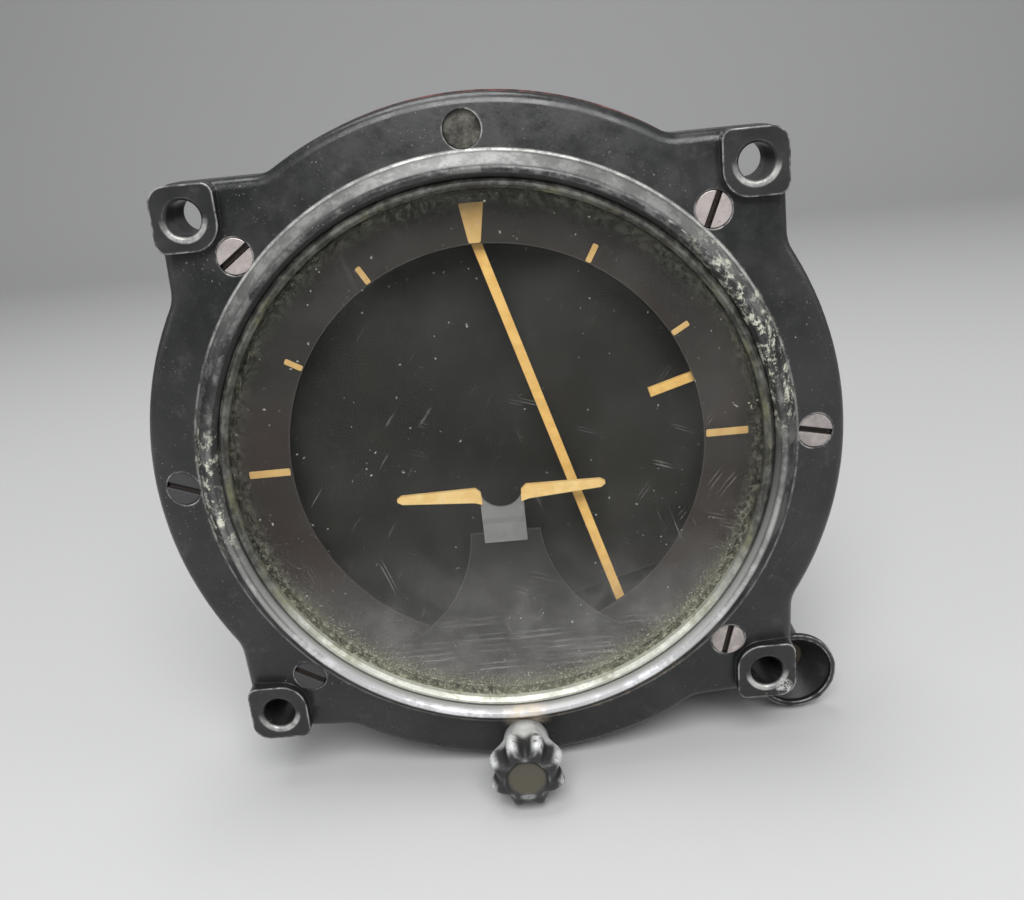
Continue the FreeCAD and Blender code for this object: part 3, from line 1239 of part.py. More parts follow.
def gyro_parts():
    inner = "housing_radius - housing_wall"
    split = "housing_half - cover_rise"
    flange = "housing_radius + housing_flange"
    housing = turned("rotor_housing", [
        ("-housing_half", SPIN_HOLE), ("-housing_half", "housing_radius - 3"),
        ("-housing_half + 3", "housing_radius"), (split + " - 3", "housing_radius"),
        (split + " - 2", flange), (split, flange), (split, inner),
        ("-housing_half + housing_wall", inner),
        ("-housing_half + housing_wall", "spin_bearing_radius + 2"),
        ("-housing_half + housing_wall + spin_bearing_width", "spin_bearing_radius + 2"),
        ("-housing_half + housing_wall + spin_bearing_width", BEARING_BORE),
        ("-housing_half + housing_wall", BEARING_BORE),
        ("-housing_half + housing_wall", SPIN_HOLE)])
    for across, radius in (("0", "pitch_shaft_radius"), ("pin_ahead", "pin_radius")):
        sketch = sketch_on(housing, "YZ_Plane", "0")
        circle(sketch, "0", across, radius)
        pad_up(housing, sketch, "Pocket", "housing_radius + 1")
    sketch = sketch_on(housing, "YZ_Plane", "-housing_radius - 1")
    circle(sketch, "0", "0", "pitch_shaft_radius")
    pad_up(housing, sketch, "Pocket", "housing_radius")
    cover = turned("housing_cover", [
        (split, inner), (split, flange), (split + " + 2", flange),
        (split + " + 3", "housing_radius"), ("housing_half - 2", "housing_radius"),
        ("housing_half", "housing_radius - 2"), ("housing_half", "spin_bearing_radius"),
        ("housing_half - 1", "spin_bearing_radius"),
        ("housing_half - 1", SPIN_HOLE), ("housing_half - housing_wall", SPIN_HOLE),
        ("housing_half - housing_wall", BEARING_BORE),
        ("housing_half - housing_wall - spin_bearing_width", BEARING_BORE),
        ("housing_half - housing_wall - spin_bearing_width", "spin_bearing_radius + 2"),
        ("housing_half - housing_wall", "spin_bearing_radius + 2"),
        ("housing_half - housing_wall", inner)])
    for piece, front, length in ((housing, split + " - 3.2", "3.2"), (cover, split, "3.2")):
        hole = pocket_circle(piece, "XZ_Plane", "-(%s)" % front,
                             "(housing_radius + 1.7) * cos(30)",
                             "(housing_radius + 1.7) * sin(30)",
                             "housing_screw_radius + shaft_fit", length)
        repeat(piece, hole, "6")
    chamber_back = "-housing_half - chamber_length"
    chamber = turned("vane_chamber", [
        ("-housing_half", "chamber_radius - chamber_wall - 2"),
        ("-housing_half", "chamber_radius + 2"), ("-housing_half - 1.6", "chamber_radius + 2"),
        ("-housing_half - 1.6", "chamber_radius"), (chamber_back, "chamber_radius"),
        (chamber_back, "0"), (chamber_back + " + chamber_wall", "0"),
        (chamber_back + " + chamber_wall", "chamber_radius - chamber_wall"),
        ("-housing_half - 1.6", "chamber_radius - chamber_wall"),
        ("-housing_half - 1.6", "chamber_radius - chamber_wall - 2")])
    for role, across, up in (("YZ_Plane", VANE_X_LEVEL, "0"), ("XY_Plane", "0", VANE_Y_LEVEL)):
        sketch = sketch_on(chamber, role, "-chamber_radius - 1")
        circle(sketch, across, up, "vane_shaft_radius + shaft_fit")
        pad_up(chamber, sketch, "Pocket", "2 * chamber_radius + 2")
    bearings = []
    for front in ("-housing_half + housing_wall",
                  "housing_half - housing_wall - spin_bearing_width"):
        bearing = cut("SpinBearing",
                      cylinder("SpinRace", "spin_bearing_radius", "spin_bearing_width", y=front),
                      cylinder("SpinBore", "spin_shaft_radius + bearing_fit",
                               "spin_bearing_width", y=front))
        bearings.append(place(bearing, GYRO, rotation=SPIN_UP))
    together("spin_bearings", *bearings)
    for piece in (housing, cover, chamber):
        place(piece, GYRO, rotation=SPIN_UP)

    upright = GYRO.multiply(FreeCAD.Placement(FreeCAD.Vector(), SPIN_UP))
    screws = []
    for index in range(6):
        angle = 30 + 60 * index
        screw = cylinder("HousingScrew", "housing_screw_radius", "6.2")
        screws.append(place(screw, upright, x="(housing_radius + 1.7) * cos(%d)" % angle,
                            y=split + " - 3.1",
                            z="(housing_radius + 1.7) * sin(%d)" % angle))
    together("housing_screws", *screws)
    pivots = []
    for side in (1, -1):
        pivot = cylinder("PitchPivot", "pitch_shaft_radius",
                         "rail_inner + rail_thick - 0.5 - housing_radius + 3",
                         direction=(side, 0, 0))
        pivots.append(place(pivot, GYRO, x="%d * (housing_radius - 3)" % side))
    together("pitch_pivots", *pivots)
    pin = cylinder("guide_pin", "pin_radius", ARM_OUTER + " + 0.6 - pin_root",
                   direction=(1, 0, 0))
    keep(place(pin, GYRO, x="pin_root", y="-pin_ahead"), "guide_pin")


BEARING_BORE = "spin_bearing_radius + bearing_fit"
SPIN_HOLE = "spin_shaft_radius + 0.6"
VANE_X_LEVEL = "-housing_half - chamber_length / 2"
VANE_Y_LEVEL = "-housing_half - chamber_length / 2 - 3"


def rotor_parts():
    rim_inner = "rotor_radius - rotor_rim"
    rotor = turned("rotor", [
        ("-rotor_half", rim_inner), ("-rotor_half", "rotor_radius - 1"),
        ("-rotor_half + 1", "rotor_radius"), ("rotor_half - 1", "rotor_radius"),
        ("rotor_half", "rotor_radius - 1"), ("rotor_half", rim_inner),
        ("rotor_web / 2", rim_inner + " - 1.5"), ("rotor_web / 2", "spin_shaft_radius + 4"),
        ("rotor_half - 1", "spin_shaft_radius + 3"), ("rotor_half - 1", "spin_shaft_radius"),
        ("-rotor_half + 1", "spin_shaft_radius"), ("-rotor_half + 1", "spin_shaft_radius + 3"),
        ("-rotor_web / 2", "spin_shaft_radius + 4"), ("-rotor_web / 2", rim_inner + " - 1.5")])
    bucket = pocket_circle(rotor, "XZ_Plane", "bucket_length / 2", "0",
                           "rotor_radius + 0.4", "bucket_radius", "bucket_length")
    repeat(rotor, bucket, "rotor_buckets")
    shaft_half = "housing_half - housing_wall + 0.2"
    shaft = turned("rotor_shaft", [
        ("-(%s)" % shaft_half, "0"), (shaft_half, "0"), (shaft_half, "spin_shaft_radius"),
        ("-(%s)" % shaft_half, "spin_shaft_radius")])
    for piece in (rotor, shaft):
        place(piece, GYRO, rotation=SPIN_UP)


def vane_parts():
    """Two shafts through the chamber, each with a pendulous vane at either end."""
    reach = "chamber_radius + 0.5"
    for label, level, across in (("vanes_pitch", "housing_half + chamber_length / 2", True),
                                 ("vanes_roll", "housing_half + chamber_length / 2 + 3", False)):
        body = new_body(label)
        sketch = sketch_on(body, "YZ_Plane", "-(%s) - vane_thick" % reach)
        circle(sketch, "0", "0", "vane_shaft_radius")
        pad_up(body, sketch, "Pad", "2 * (%s) + 2 * vane_thick" % reach)
        for start in ("-(%s) - vane_thick" % reach, reach):
            sketch = sketch_on(body, "YZ_Plane", start)
            polygon(sketch, box_corners("-vane_width / 2", "vane_width / 2",
                                        "-vane_drop", "vane_shaft_radius + 1"))
            pad_up(body, sketch, "Pad", "vane_thick")
        turner = FreeCAD.Rotation() if across else FreeCAD.Rotation(
            FreeCAD.Vector(0, 0, 1), 90)
        place(body, GYRO, z="-(%s)" % level, rotation=turner)


# ---------------------------------------------------------------- horizon bar

def bar_parts():
    """Bar, slotted arm and counterweight, drawn about the arm's pivot."""
    bar_front = "-arm_reach"
    bar = new_body("horizon_bar")
    sketch = sketch_on(bar, "XZ_Plane", "arm_reach")
    polygon(sketch, box_corners("-bar_tip", ARM_OUTER, "-bar_width / 2", "bar_width / 2"))
    extrude(bar, sketch, "Pad", "bar_thick")
    place(bar, BAR)

    arm = new_body("bar_arm")
    sketch = sketch_on(arm, "YZ_Plane", "arm_u")
    tip = bar_front + " + bar_thick"
    near, far = "-(%s)" % ARM_SLOT_FAR, "-(%s)" % ARM_SLOT_NEAR
    polygon(sketch, [
        (tip, "-bar_width / 2"), (near + " - 6", "-arm_width / 2"),
        (near + " - 2", "-arm_slot_width / 2"), (far + " + 2", "-arm_slot_width / 2"),
        (far + " + 6", "-arm_width / 2"), ("bar_weight_y", "-arm_width / 2"),
        ("bar_weight_y", "arm_width / 2"), (far + " + 6", "arm_width / 2"),
        (far + " + 2", "arm_slot_width / 2"), (near + " - 2", "arm_slot_width / 2"),
        (near + " - 6", "arm_width / 2"), (tip, "bar_width / 2")])
    pad_up(arm, sketch, "Pad", "arm_thick")
    sketch = sketch_on(arm, "YZ_Plane", "arm_u - 1")
    gap = "pin_radius + arm_slot_gap"
    rounded_box(sketch, near, far, "-(%s)" % gap, gap, ["pin_radius"] * 4)
    pad_up(arm, sketch, "Pocket", "arm_thick + 2")
    sketch = sketch_on(arm, "YZ_Plane", "arm_u - 1")
    circle(sketch, "0", "0", "arm_pivot_radius + shaft_fit")
    pad_up(arm, sketch, "Pocket", "arm_thick + 2")
    place(arm, BAR)

    weight = cylinder("bar_counterweight", "bar_weight_radius", "bar_weight_length",
                      direction=(1, 0, 0))
    keep(place(weight, BAR, x="arm_u - bar_weight_length", y="bar_weight_y - 2"),
         "bar_counterweight")


ARM_SLOT_NEAR = "(arm_pivot_y - pitch_y) + pin_ahead * cos(60) - 2"
ARM_SLOT_FAR = "(arm_pivot_y - pitch_y) + pin_ahead + 2"


def write_parts():
    """Check every object and sub-part, then write one STEP file a node."""
    doc.recompute()
    for thing in doc.Objects:
        if "Invalid" in thing.State or "Error" in thing.State:
            raise RuntimeError("failed: %s %s" % (thing.Label, thing.State))
    os.makedirs("parts", exist_ok=True)
    for node in NODES:
        shape = node.Shape
        if shape.isNull() or not shape.isValid() or not shape.Solids:
            raise RuntimeError("bad shape: " + node.Label)
        shape.exportStep("parts/%s.step" % node.Label)
        print(node.Label, round(shape.Volume, 1), len(shape.Solids))


bezel_frame()
glass_parts()
mask_parts()
lower_shield()
airplane()
ring_screws()
case_parts()
rear_parts()
inlet_parts()
bearing_arm()
caging_parts()
gimbal_parts()
gyro_parts()
rotor_parts()
vane_parts()
bar_parts()
write_parts()
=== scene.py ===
"""Looks of the attitude indicator: materials, dial paint, a ridged knob, light and camera."""

import json
import math

import bmesh
import bpy
from mathutils import Matrix, Vector


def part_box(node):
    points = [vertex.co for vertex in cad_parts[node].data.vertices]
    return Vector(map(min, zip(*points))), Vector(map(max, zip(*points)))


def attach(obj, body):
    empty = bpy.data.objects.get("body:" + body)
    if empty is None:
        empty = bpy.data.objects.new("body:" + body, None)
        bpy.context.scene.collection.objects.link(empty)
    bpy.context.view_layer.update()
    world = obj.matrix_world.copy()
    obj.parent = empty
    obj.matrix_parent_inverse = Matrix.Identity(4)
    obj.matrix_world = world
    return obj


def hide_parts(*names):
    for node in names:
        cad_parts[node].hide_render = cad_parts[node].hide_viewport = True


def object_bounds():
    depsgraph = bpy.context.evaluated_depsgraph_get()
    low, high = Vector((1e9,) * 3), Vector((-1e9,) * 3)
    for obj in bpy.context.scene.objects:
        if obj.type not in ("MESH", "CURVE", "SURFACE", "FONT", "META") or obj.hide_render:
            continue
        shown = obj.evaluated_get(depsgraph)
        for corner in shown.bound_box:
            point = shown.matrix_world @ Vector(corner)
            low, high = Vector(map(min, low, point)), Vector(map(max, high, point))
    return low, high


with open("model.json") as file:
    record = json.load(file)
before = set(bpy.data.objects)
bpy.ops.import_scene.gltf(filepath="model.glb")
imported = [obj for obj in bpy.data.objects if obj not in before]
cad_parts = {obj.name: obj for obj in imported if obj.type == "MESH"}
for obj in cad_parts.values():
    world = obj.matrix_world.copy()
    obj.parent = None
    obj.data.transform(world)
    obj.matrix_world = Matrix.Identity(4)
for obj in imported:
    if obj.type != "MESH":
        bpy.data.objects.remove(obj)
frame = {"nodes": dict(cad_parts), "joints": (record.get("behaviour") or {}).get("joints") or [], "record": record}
nodes = frame["nodes"]
cad_low, cad_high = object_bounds()

MM = 0.001

# Places that materials and pieces share
knob_joint = next(joint for joint in frame["joints"] if joint["name"] == "knob_turn")
panel_screws = next(mount for mount in frame["record"]["mounts"] if mount["name"] == "panel_screws")
KNOB_Z = knob_joint["pos_m"][2]
KNOB_LOBES = 8
PAD = panel_screws["dims"]["spacing_x_mm"] / 2 * MM     # bolt holes from the middle, each way

# Belts of the raised ring round the glass: inner radius, outer radius, softness of both ends
LIP = (52.8 * MM, 53.7 * MM, 0.2 * MM)
CREST = (53.9 * MM, 54.9 * MM, 0.4 * MM)
BEAD = (53.5 * MM, 54.9 * MM, 0.3 * MM)
WALL = (55.2 * MM, 57.2 * MM, 0.4 * MM)
FOOT = (57.3 * MM, 57.8 * MM, 0.15 * MM)
CRUSTED = (52.5 * MM, 57.5 * MM, 0.8 * MM)
RUSTED = (55.6 * MM, 57.8 * MM, 0.4 * MM)

# Colours that lie on top of the paint; the bare metal and whitened ones also serve as painted highlight, the slot
# dirt also as painted shade
BARE_METAL_AND_HIGHLIGHT = (0.50, 0.50, 0.48)
DUST = (0.34, 0.33, 0.29)
CHALK = (0.56, 0.56, 0.46)
PACKED = (0.54, 0.46, 0.36)
RUST = (0.36, 0.24, 0.15)
WHITENED_AND_HIGHLIGHT = (0.80, 0.80, 0.83)
SLOT_DIRT_AND_SHADE = (0.022, 0.016, 0.013)


# ---------------------------------------------------------------- shader graphs

class Graph:
    """A node material, with short calls for the nodes it is made of."""

    def __init__(self, name):
        self.material = bpy.data.materials.new(name)
        self.material.use_nodes = True
        self.tree = self.material.node_tree
        self.tree.nodes.clear()
        self.place = self.add("ShaderNodeTexCoord").outputs["Object"]
        split = self.add("ShaderNodeSeparateXYZ")
        self.link(split.inputs[0], self.place)
        self.x, self.y, self.z = split.outputs

    def add(self, kind, **settings):
        node = self.tree.nodes.new(kind)
        for key, value in settings.items():
            setattr(node, key, value)
        return node

    def link(self, socket, value):
        """Link a socket to another one, or set it to a number or a colour."""
        if isinstance(value, bpy.types.NodeSocket):
            self.tree.links.new(socket, value)
        elif isinstance(value, (tuple, list)) and len(socket.default_value) == 4:
            socket.default_value = (*value[:3], 1.0)
        else:
            socket.default_value = value

    def math(self, operation, first, second=0.0):
        node = self.add("ShaderNodeMath", operation=operation)
        self.link(node.inputs[0], first)
        self.link(node.inputs[1], second)
        return node.outputs[0]

    def times(self, first, *others):
        """Product of all the values."""
        for other in others:
            first = self.math("MULTIPLY", first, other)
        return first

    def most(self, first, *others):
        """Largest of all the values."""
        for other in others:
            first = self.math("MAXIMUM", first, other)
        return first

    def less(self, first, second):
        """First minus second."""
        return self.math("SUBTRACT", first, second)

    def band(self, value, low, high, start=0.0, end=1.0):
        """Smooth step from start at low to end at high."""
        node = self.add("ShaderNodeMapRange", interpolation_type="SMOOTHSTEP")
        for index, item in enumerate((value, low, high, start, end)):
            self.link(node.inputs[index], item)
        return node.outputs[0]

    def window(self, value, low, high, soft):
        """One between low and high, falling to nothing over soft."""
        rise = self.band(value, low - soft, low + soft)
        fall = self.band(value, high - soft, high + soft, 1.0, 0.0)
        return self.times(rise, fall)

    def mapped(self, kind="POINT", **values):
        """The place after a mapping with the location, rotation and scale that are given."""
        node = self.add("ShaderNodeMapping", vector_type=kind)
        self.link(node.inputs["Vector"], self.place)
        for key, value in values.items():
            node.inputs[key.title()].default_value = value
        return node.outputs[0]

    def noise(self, scale, detail=4.0, rough=0.55, offset=0.0, place=None):
        """Cloudy pattern; offset moves it, or place says where it is read."""
        node = self.add("ShaderNodeTexNoise")
        if place is None:
            place = self.mapped(location=(offset, offset, offset)) if offset else self.place
        self.link(node.inputs["Vector"], place)
        node.inputs["Scale"].default_value = scale
        node.inputs["Detail"].default_value = detail
        node.inputs["Roughness"].default_value = rough
        return node.outputs[0]

    def cells(self, scale, offset):
        """Distance from the middle of the nearest of many small cells."""
        node = self.add("ShaderNodeTexVoronoi")
        self.link(node.inputs["Vector"], self.mapped(location=(offset, offset, offset)))
        node.inputs["Scale"].default_value = scale
        return node.outputs["Distance"]

    def blend(self, share, first, second):
        """Colour between first and second."""
        node = self.add("ShaderNodeMix", data_type="RGBA")
        self.link(node.inputs[0], share)
        self.link(node.inputs[6], first)
        self.link(node.inputs[7], second)
        return node.outputs[2]

    def level(self, share, first, second):
        """Number between first and second."""
        node = self.add("ShaderNodeMix", data_type="FLOAT")
        self.link(node.inputs[0], share)
        self.link(node.inputs[2], first)
        self.link(node.inputs[3], second)
        return node.outputs[0]

    def mixed(self, share, first, second):
        """Shader between first and second."""
        node = self.add("ShaderNodeMixShader")
        for index, item in enumerate((share, first, second)):
            self.link(node.inputs[index], item)
        return node.outputs[0]

    def span(self, across, up):
        """Length of a vector with these two sides."""
        return self.math("SQRT", self.math("ADD", self.times(across, across), self.times(up, up)))

    def reach(self, across=0.0, up=0.0):
        """Distance from a line along Y."""
        return self.span(self.less(self.x, across), self.less(self.z, up))

    def openness(self, distance, inside=False):
        """How open the surroundings are within a distance; inside looks into the solid."""
        node = self.add("ShaderNodeAmbientOcclusion", samples=8, inside=inside, only_local=True)
        node.inputs["Distance"].default_value = distance
        return node.outputs["AO"]

    def edges(self, radius):
        """One on outer edges narrower than radius, nothing in inner corners."""
        return self.band(self.openness(radius, inside=True), 0.94, 0.60)

    def hollows(self, distance):
        """One deep in slots and corners narrower than a distance."""
        return self.band(self.openness(distance), 0.96, 0.74)

    def relief(self, height, depth, rounding=0.0):
        """Bump of a height field depth metres high; rounding also softens the look of edges."""
        bump = self.add("ShaderNodeBump")
        bump.inputs["Strength"].default_value = 1.0
        bump.inputs["Distance"].default_value = depth
        self.link(bump.inputs["Height"], height)
        if rounding:
            soft = self.add("ShaderNodeBevel", samples=6)
            soft.inputs["Radius"].default_value = rounding
            self.link(bump.inputs["Normal"], soft.outputs[0])
        return bump.outputs[0]

    def surface(self, colour, roughness, metallic=0.0, normal=None):
        shader = self.add("ShaderNodeBsdfPrincipled")
        self.link(shader.inputs["Base Color"], colour)
        self.link(shader.inputs["Roughness"], roughness)
        self.link(shader.inputs["Metallic"], metallic)
        if normal is not None:
            self.link(shader.inputs["Normal"], normal)
        return shader.outputs[0]

    def finish(self, shader):
        output = self.add("ShaderNodeOutputMaterial")
        self.link(output.inputs["Surface"], shader)
        return self.material


# ---------------------------------------------------------------- painted castings

def casting_colour(g):
    """Black gloss paint with greyed patches and specks of dust."""
    colour = g.blend(g.band(g.noise(55, 5), 0.35, 0.68),
                     (0.007, 0.0075, 0.0075), (0.017, 0.017, 0.017))
    grey = g.band(g.noise(240, 6, 0.7, offset=3.1), 0.54, 0.76)
    colour = g.blend(g.times(grey, 0.40), colour, (0.060, 0.060, 0.058))
    specks = g.band(g.noise(2400, 2, 0.5, offset=0.4), 0.67, 0.73)
    sparse = g.band(g.noise(90, 3, 0.6, offset=7.7), 0.46, 0.62)
    dust = g.times(specks, g.level(sparse, 0.10, 0.8))
    return g.blend(g.times(dust, 0.65), colour, DUST)


def hole_mouths(g, patchy):
    """Bare-metal colour in the lower half of the four bolt holes' mouths, partly wear and partly painted
    highlight.
    """
    across = g.less(g.math("ABSOLUTE", g.x), PAD)
    rise = g.less(g.math("ABSOLUTE", g.z), PAD)
    rim = g.window(g.span(across, rise), 3.4 * MM, 4.35 * MM, 0.2 * MM)
    # Painted highlight: only the lower half of each mouth, which faces up into the light
    below = g.band(g.times(rise, g.math("SIGN", g.z)), 0.5 * MM, -2.5 * MM)
    front = g.band(g.y, 2.2 * MM, 0.8 * MM)
    return g.times(rim, below, front, g.level(patchy, 0.35, 0.9))


def ring_wear_and_highlights(g, radius, low, rub_and_highlight):
    """Bare-metal colour on the ring's crest, wall, lip and foot, partly wear and partly painted highlight, and a
    chip at the lower right pad.
    """
    high = g.band(g.z, 18 * MM, 46 * MM)
    # Crest and lip are brightest at the bottom, partly wear and partly painted highlight
    crest = g.times(g.window(radius, *CREST),
                    g.level(low, g.times(rub_and_highlight, 0.20), g.level(rub_and_highlight, 0.60, 0.95)))
    # Painted highlight: bare-metal colour on the outer wall, strongest at the top
    wall = g.times(g.window(radius, *WALL),
                   g.level(high, g.times(rub_and_highlight, 0.25), g.level(rub_and_highlight, 0.35, 0.7)))
    lip = g.times(g.window(radius, *LIP), g.level(low, 0.04, 0.6))
    smear = g.band(g.noise(260, 5, 0.7, offset=9.1), 0.38, 0.58)
    # Painted highlight: the foot line is bright at the top and fainter lower down
    bright = g.level(high, g.level(low, g.times(smear, 0.30), 0.30), 1.0)
    foot = g.times(g.window(radius, *FOOT), g.times(bright, g.level(smear, 0.35, 0.85)))
    spot = g.window(g.reach(54.2 * MM, -54.6 * MM), -1.0 * MM, 1.6 * MM, 0.4 * MM)
    chip = g.times(spot, g.band(g.noise(1100, 5, 0.75, offset=2.4), 0.46, 0.54))
    return g.most(crest, g.times(wall, 0.55), lip, foot, chip)


def crust_belt(g, radius):
    """The stretches of the ring, at its right and left, that are crusted and pitted."""
    right = g.times(g.band(g.x, 30 * MM, 52 * MM), g.window(g.z, 4 * MM, 40 * MM, 6 * MM))
    left = g.times(g.band(g.x, -46 * MM, -55 * MM), g.window(g.z, -12 * MM, 12 * MM, 6 * MM))
    return g.times(g.window(radius, *CRUSTED), g.most(right, left))


def ring_stains(g, radius, belt):
    """Shares of crust, of packed dust that bridges the grooves over the knob, and of rust."""
    crust = g.times(belt, g.band(g.noise(420, 6, 0.8, offset=4.4), 0.50, 0.60))
    packed = g.times(g.window(g.x, -3 * MM, 4 * MM, 2 * MM),
                     g.window(g.z, -58.5 * MM, -53 * MM, 1 * MM),
                     g.band(g.noise(600, 6, 0.8, offset=6.4), 0.36, 0.50))
    at_foot = g.times(g.window(radius, *RUSTED), g.band(g.z, -40 * MM, -46 * MM))
    rust = g.times(g.window(g.x, 2 * MM, 34 * MM, 4 * MM), at_foot,
                   g.band(g.noise(800, 6, 0.8, offset=1.4), 0.52, 0.60))
    return crust, packed, rust


def painted_casting(name, gloss, ringed=False):
    """Gloss black paint over a light alloy casting, dusty and rubbed through on its edges; ringed adds the ring's
    wear and painted highlights, and its crust, packed dust and rust.
    """
    g = Graph(name)
    patchy = g.band(g.noise(320, 5, 0.7, offset=1.7), 0.40, 0.62)
    wear = g.times(g.edges(0.45 * MM), g.level(patchy, 0.04, 0.66))
    rough = g.level(g.band(g.noise(130, 5, 0.7, offset=8.8), 0.35, 0.65), gloss, 0.42)
    height = g.noise(700, 4, 0.65)
    if ringed:
        radius = g.reach()
        low = g.band(g.z, 10 * MM, -40 * MM)
        rub_and_highlight = g.band(g.noise(150, 6, 0.75, offset=5.2), 0.46, 0.60)
        # On the bezel the bare-metal share also carries painted highlights: on the ring by height and in the lower
        # mouths of the bolt holes
        wear = g.most(wear, ring_wear_and_highlights(g, radius, low, rub_and_highlight), hole_mouths(g, patchy))
    colour = g.blend(wear, casting_colour(g), BARE_METAL_AND_HIGHLIGHT)
    metal = g.times(wear, 0.55)
    if ringed:
        belt = crust_belt(g, radius)
        crust, packed, rust = ring_stains(g, radius, belt)
        # Painted highlight, partly whitened paint: the ring's bead turns whitish towards the bottom
        bead = g.times(g.band(g.z, -24 * MM, -52 * MM), g.window(radius, *BEAD))
        colour = g.blend(g.times(bead, g.level(rub_and_highlight, 0.40, 0.95)), colour, WHITENED_AND_HIGHLIGHT)
        colour = g.blend(g.times(crust, 0.85), colour, CHALK)
        colour = g.blend(g.times(packed, 0.9), colour, PACKED)
        colour = g.blend(g.times(rust, 0.8), colour, RUST)
        metal = g.times(metal, g.less(1.0, g.most(crust, rust, packed)))
        pits = g.band(g.cells(480, offset=2.2), 0.30, 0.10)
        height = g.less(height, g.times(pits, belt, 0.8))
    normal = g.relief(height, 0.030 * MM, 0.35 * MM)
    return g.finish(g.surface(colour, g.level(wear, rough, 0.38), metal, normal))


# ---------------------------------------------------------------- glass and its ring

def ring_metal():
    """Snap ring round the glass: dark at the top, bright and grimy at the foot, the bright metal partly rubbed
    bare and partly painted highlight.
    """
    g = Graph("retaining_ring_metal")
    low = g.band(g.z, -16 * MM, -44 * MM)
    rub_and_highlight = g.band(g.noise(260, 6, 0.75), 0.42, 0.62)
    # Painted highlight, partly wear: bright metal towards the foot, dark at the top
    share = g.level(low, g.times(rub_and_highlight, 0.12), g.level(rub_and_highlight, 0.65, 1.0))
    colour = g.blend(share, (0.022, 0.021, 0.018), (0.70, 0.71, 0.63))
    grime = g.times(g.band(g.noise(120, 6, 0.75, offset=6.0), 0.48, 0.66),
                    g.window(g.reach(), 49.0 * MM, 51.9 * MM, 0.4 * MM))
    colour = g.blend(g.times(grime, 0.7), colour, (0.17, 0.17, 0.08))
    normal = g.relief(g.noise(1500, 4, 0.6), 0.03 * MM, 0.25 * MM)
    return g.finish(g.surface(colour, g.level(share, 0.5, 0.36), g.times(share, 0.8), normal))


def scratches(g):
    """Short fine lines in three directions, thickest towards the foot of the glass."""
    sets = []
    for turn, scale, seed in ((0.35, 1.0, 1.0), (-0.9, 1.3, 5.0), (1.25, 0.8, 9.0)):
        place = g.mapped("TEXTURE", rotation=(0, turn, 0), location=(seed, seed, seed),
                         scale=(14 * MM / scale, 1, 0.7 * MM / scale))
        sets.append(g.band(g.noise(1, 2, 0.5, place=place), 0.69, 0.75))
    return g.times(g.most(*sets), g.band(g.z, 40 * MM, -30 * MM, 0.05, 0.24))


def dirty_glass():
    """Clear glass with dust, specks and scratches, smeared and grimy at its foot, and hazy there with dust and a
    painted reflection of the floor.
    """
    g = Graph("window_glass")
    radius = g.reach()
    low = g.band(g.z, 0.0, -45 * MM)
    veil = g.times(g.band(g.noise(38, 5, 0.6), 0.40, 0.75), 0.020)
    # Partly dust, partly painted reflection of the floor: the glass grows hazier towards the foot
    foot_haze_and_reflection = g.times(g.band(g.z, -10 * MM, -46 * MM),
                   g.level(g.band(g.noise(90, 6, 0.7, offset=14.0), 0.35, 0.70), 0.06, 0.16))
    rim = g.times(g.band(radius, 46.5 * MM, 52.5 * MM),
                  g.band(g.noise(1100, 7, 0.80, offset=2.0), 0.45, 0.60),
                  g.level(low, 0.14, 0.55))
    specks = g.times(g.band(g.noise(2300, 3, 0.6), 0.70, 0.75),
                     g.band(g.noise(60, 3, offset=4.0), 0.42, 0.60, 0.1, 0.7))
    motes = g.times(g.band(g.noise(900, 2, 0.5, offset=8.0), 0.745, 0.77), 0.5)
    streaks = g.noise(1, 5, 0.7, place=g.mapped(scale=(45, 1, 750), location=(12, 12, 12)))
    smear = g.times(g.band(streaks, 0.50, 0.68), g.window(g.z, -48 * MM, -34 * MM, 5 * MM), 0.30)
    grit = g.times(g.band(g.noise(2600, 4, 0.7, offset=3.0), 0.56, 0.66),
                   g.times(g.band(radius, 41 * MM, 52 * MM), g.level(low, 0.06, 0.85)))
    # The dirt marks mix into the film, the hazy foot with its painted reflection among them
    dirt = g.most(veil, rim, specks, motes, scratches(g), smear, foot_haze_and_reflection, grit)
    film = g.surface(g.blend(g.band(radius, 45 * MM, 52 * MM),
                             (0.52, 0.51, 0.50), (0.62, 0.62, 0.45)), 0.7)
    clear = g.add("ShaderNodeBsdfTransparent")
    g.link(clear.inputs[0], (0.95, 0.95, 0.935))
    gloss = g.add("ShaderNodeBsdfGlossy")
    gloss.inputs["Roughness"].default_value = 0.08
    facing = g.add("ShaderNodeFresnel")
    facing.inputs[0].default_value = 1.17
    pane = g.mixed(facing.outputs[0], clear.outputs[0], gloss.outputs[0])
    return g.finish(g.mixed(dirt, pane, film))


# ---------------------------------------------------------------- other paint, metal and rubber

def flat_paint(name, dark, light, roughness, tint=None):
    """Matt instrument paint with faint clouds, dust and rubbed edges."""
    g = Graph(name)
    colour = g.blend(g.band(g.noise(80, 5, 0.6), 0.35, 0.70), dark, light)
    if tint:
        cloud = g.band(g.noise(34, 4, offset=5.0), 0.42, 0.68)
        colour = g.blend(g.times(cloud, 0.6), colour, tint)
    specks = g.times(g.band(g.noise(1700, 3, 0.6, offset=1.0), 0.66, 0.73), 0.30)
    colour = g.blend(specks, colour, DUST)
    colour = g.blend(g.times(g.edges(0.2 * MM), 0.25), colour, (0.30, 0.29, 0.26))
    return g.finish(g.surface(colour, g.level(g.noise(500, 3), roughness - 0.1,
                                              roughness + 0.1)))


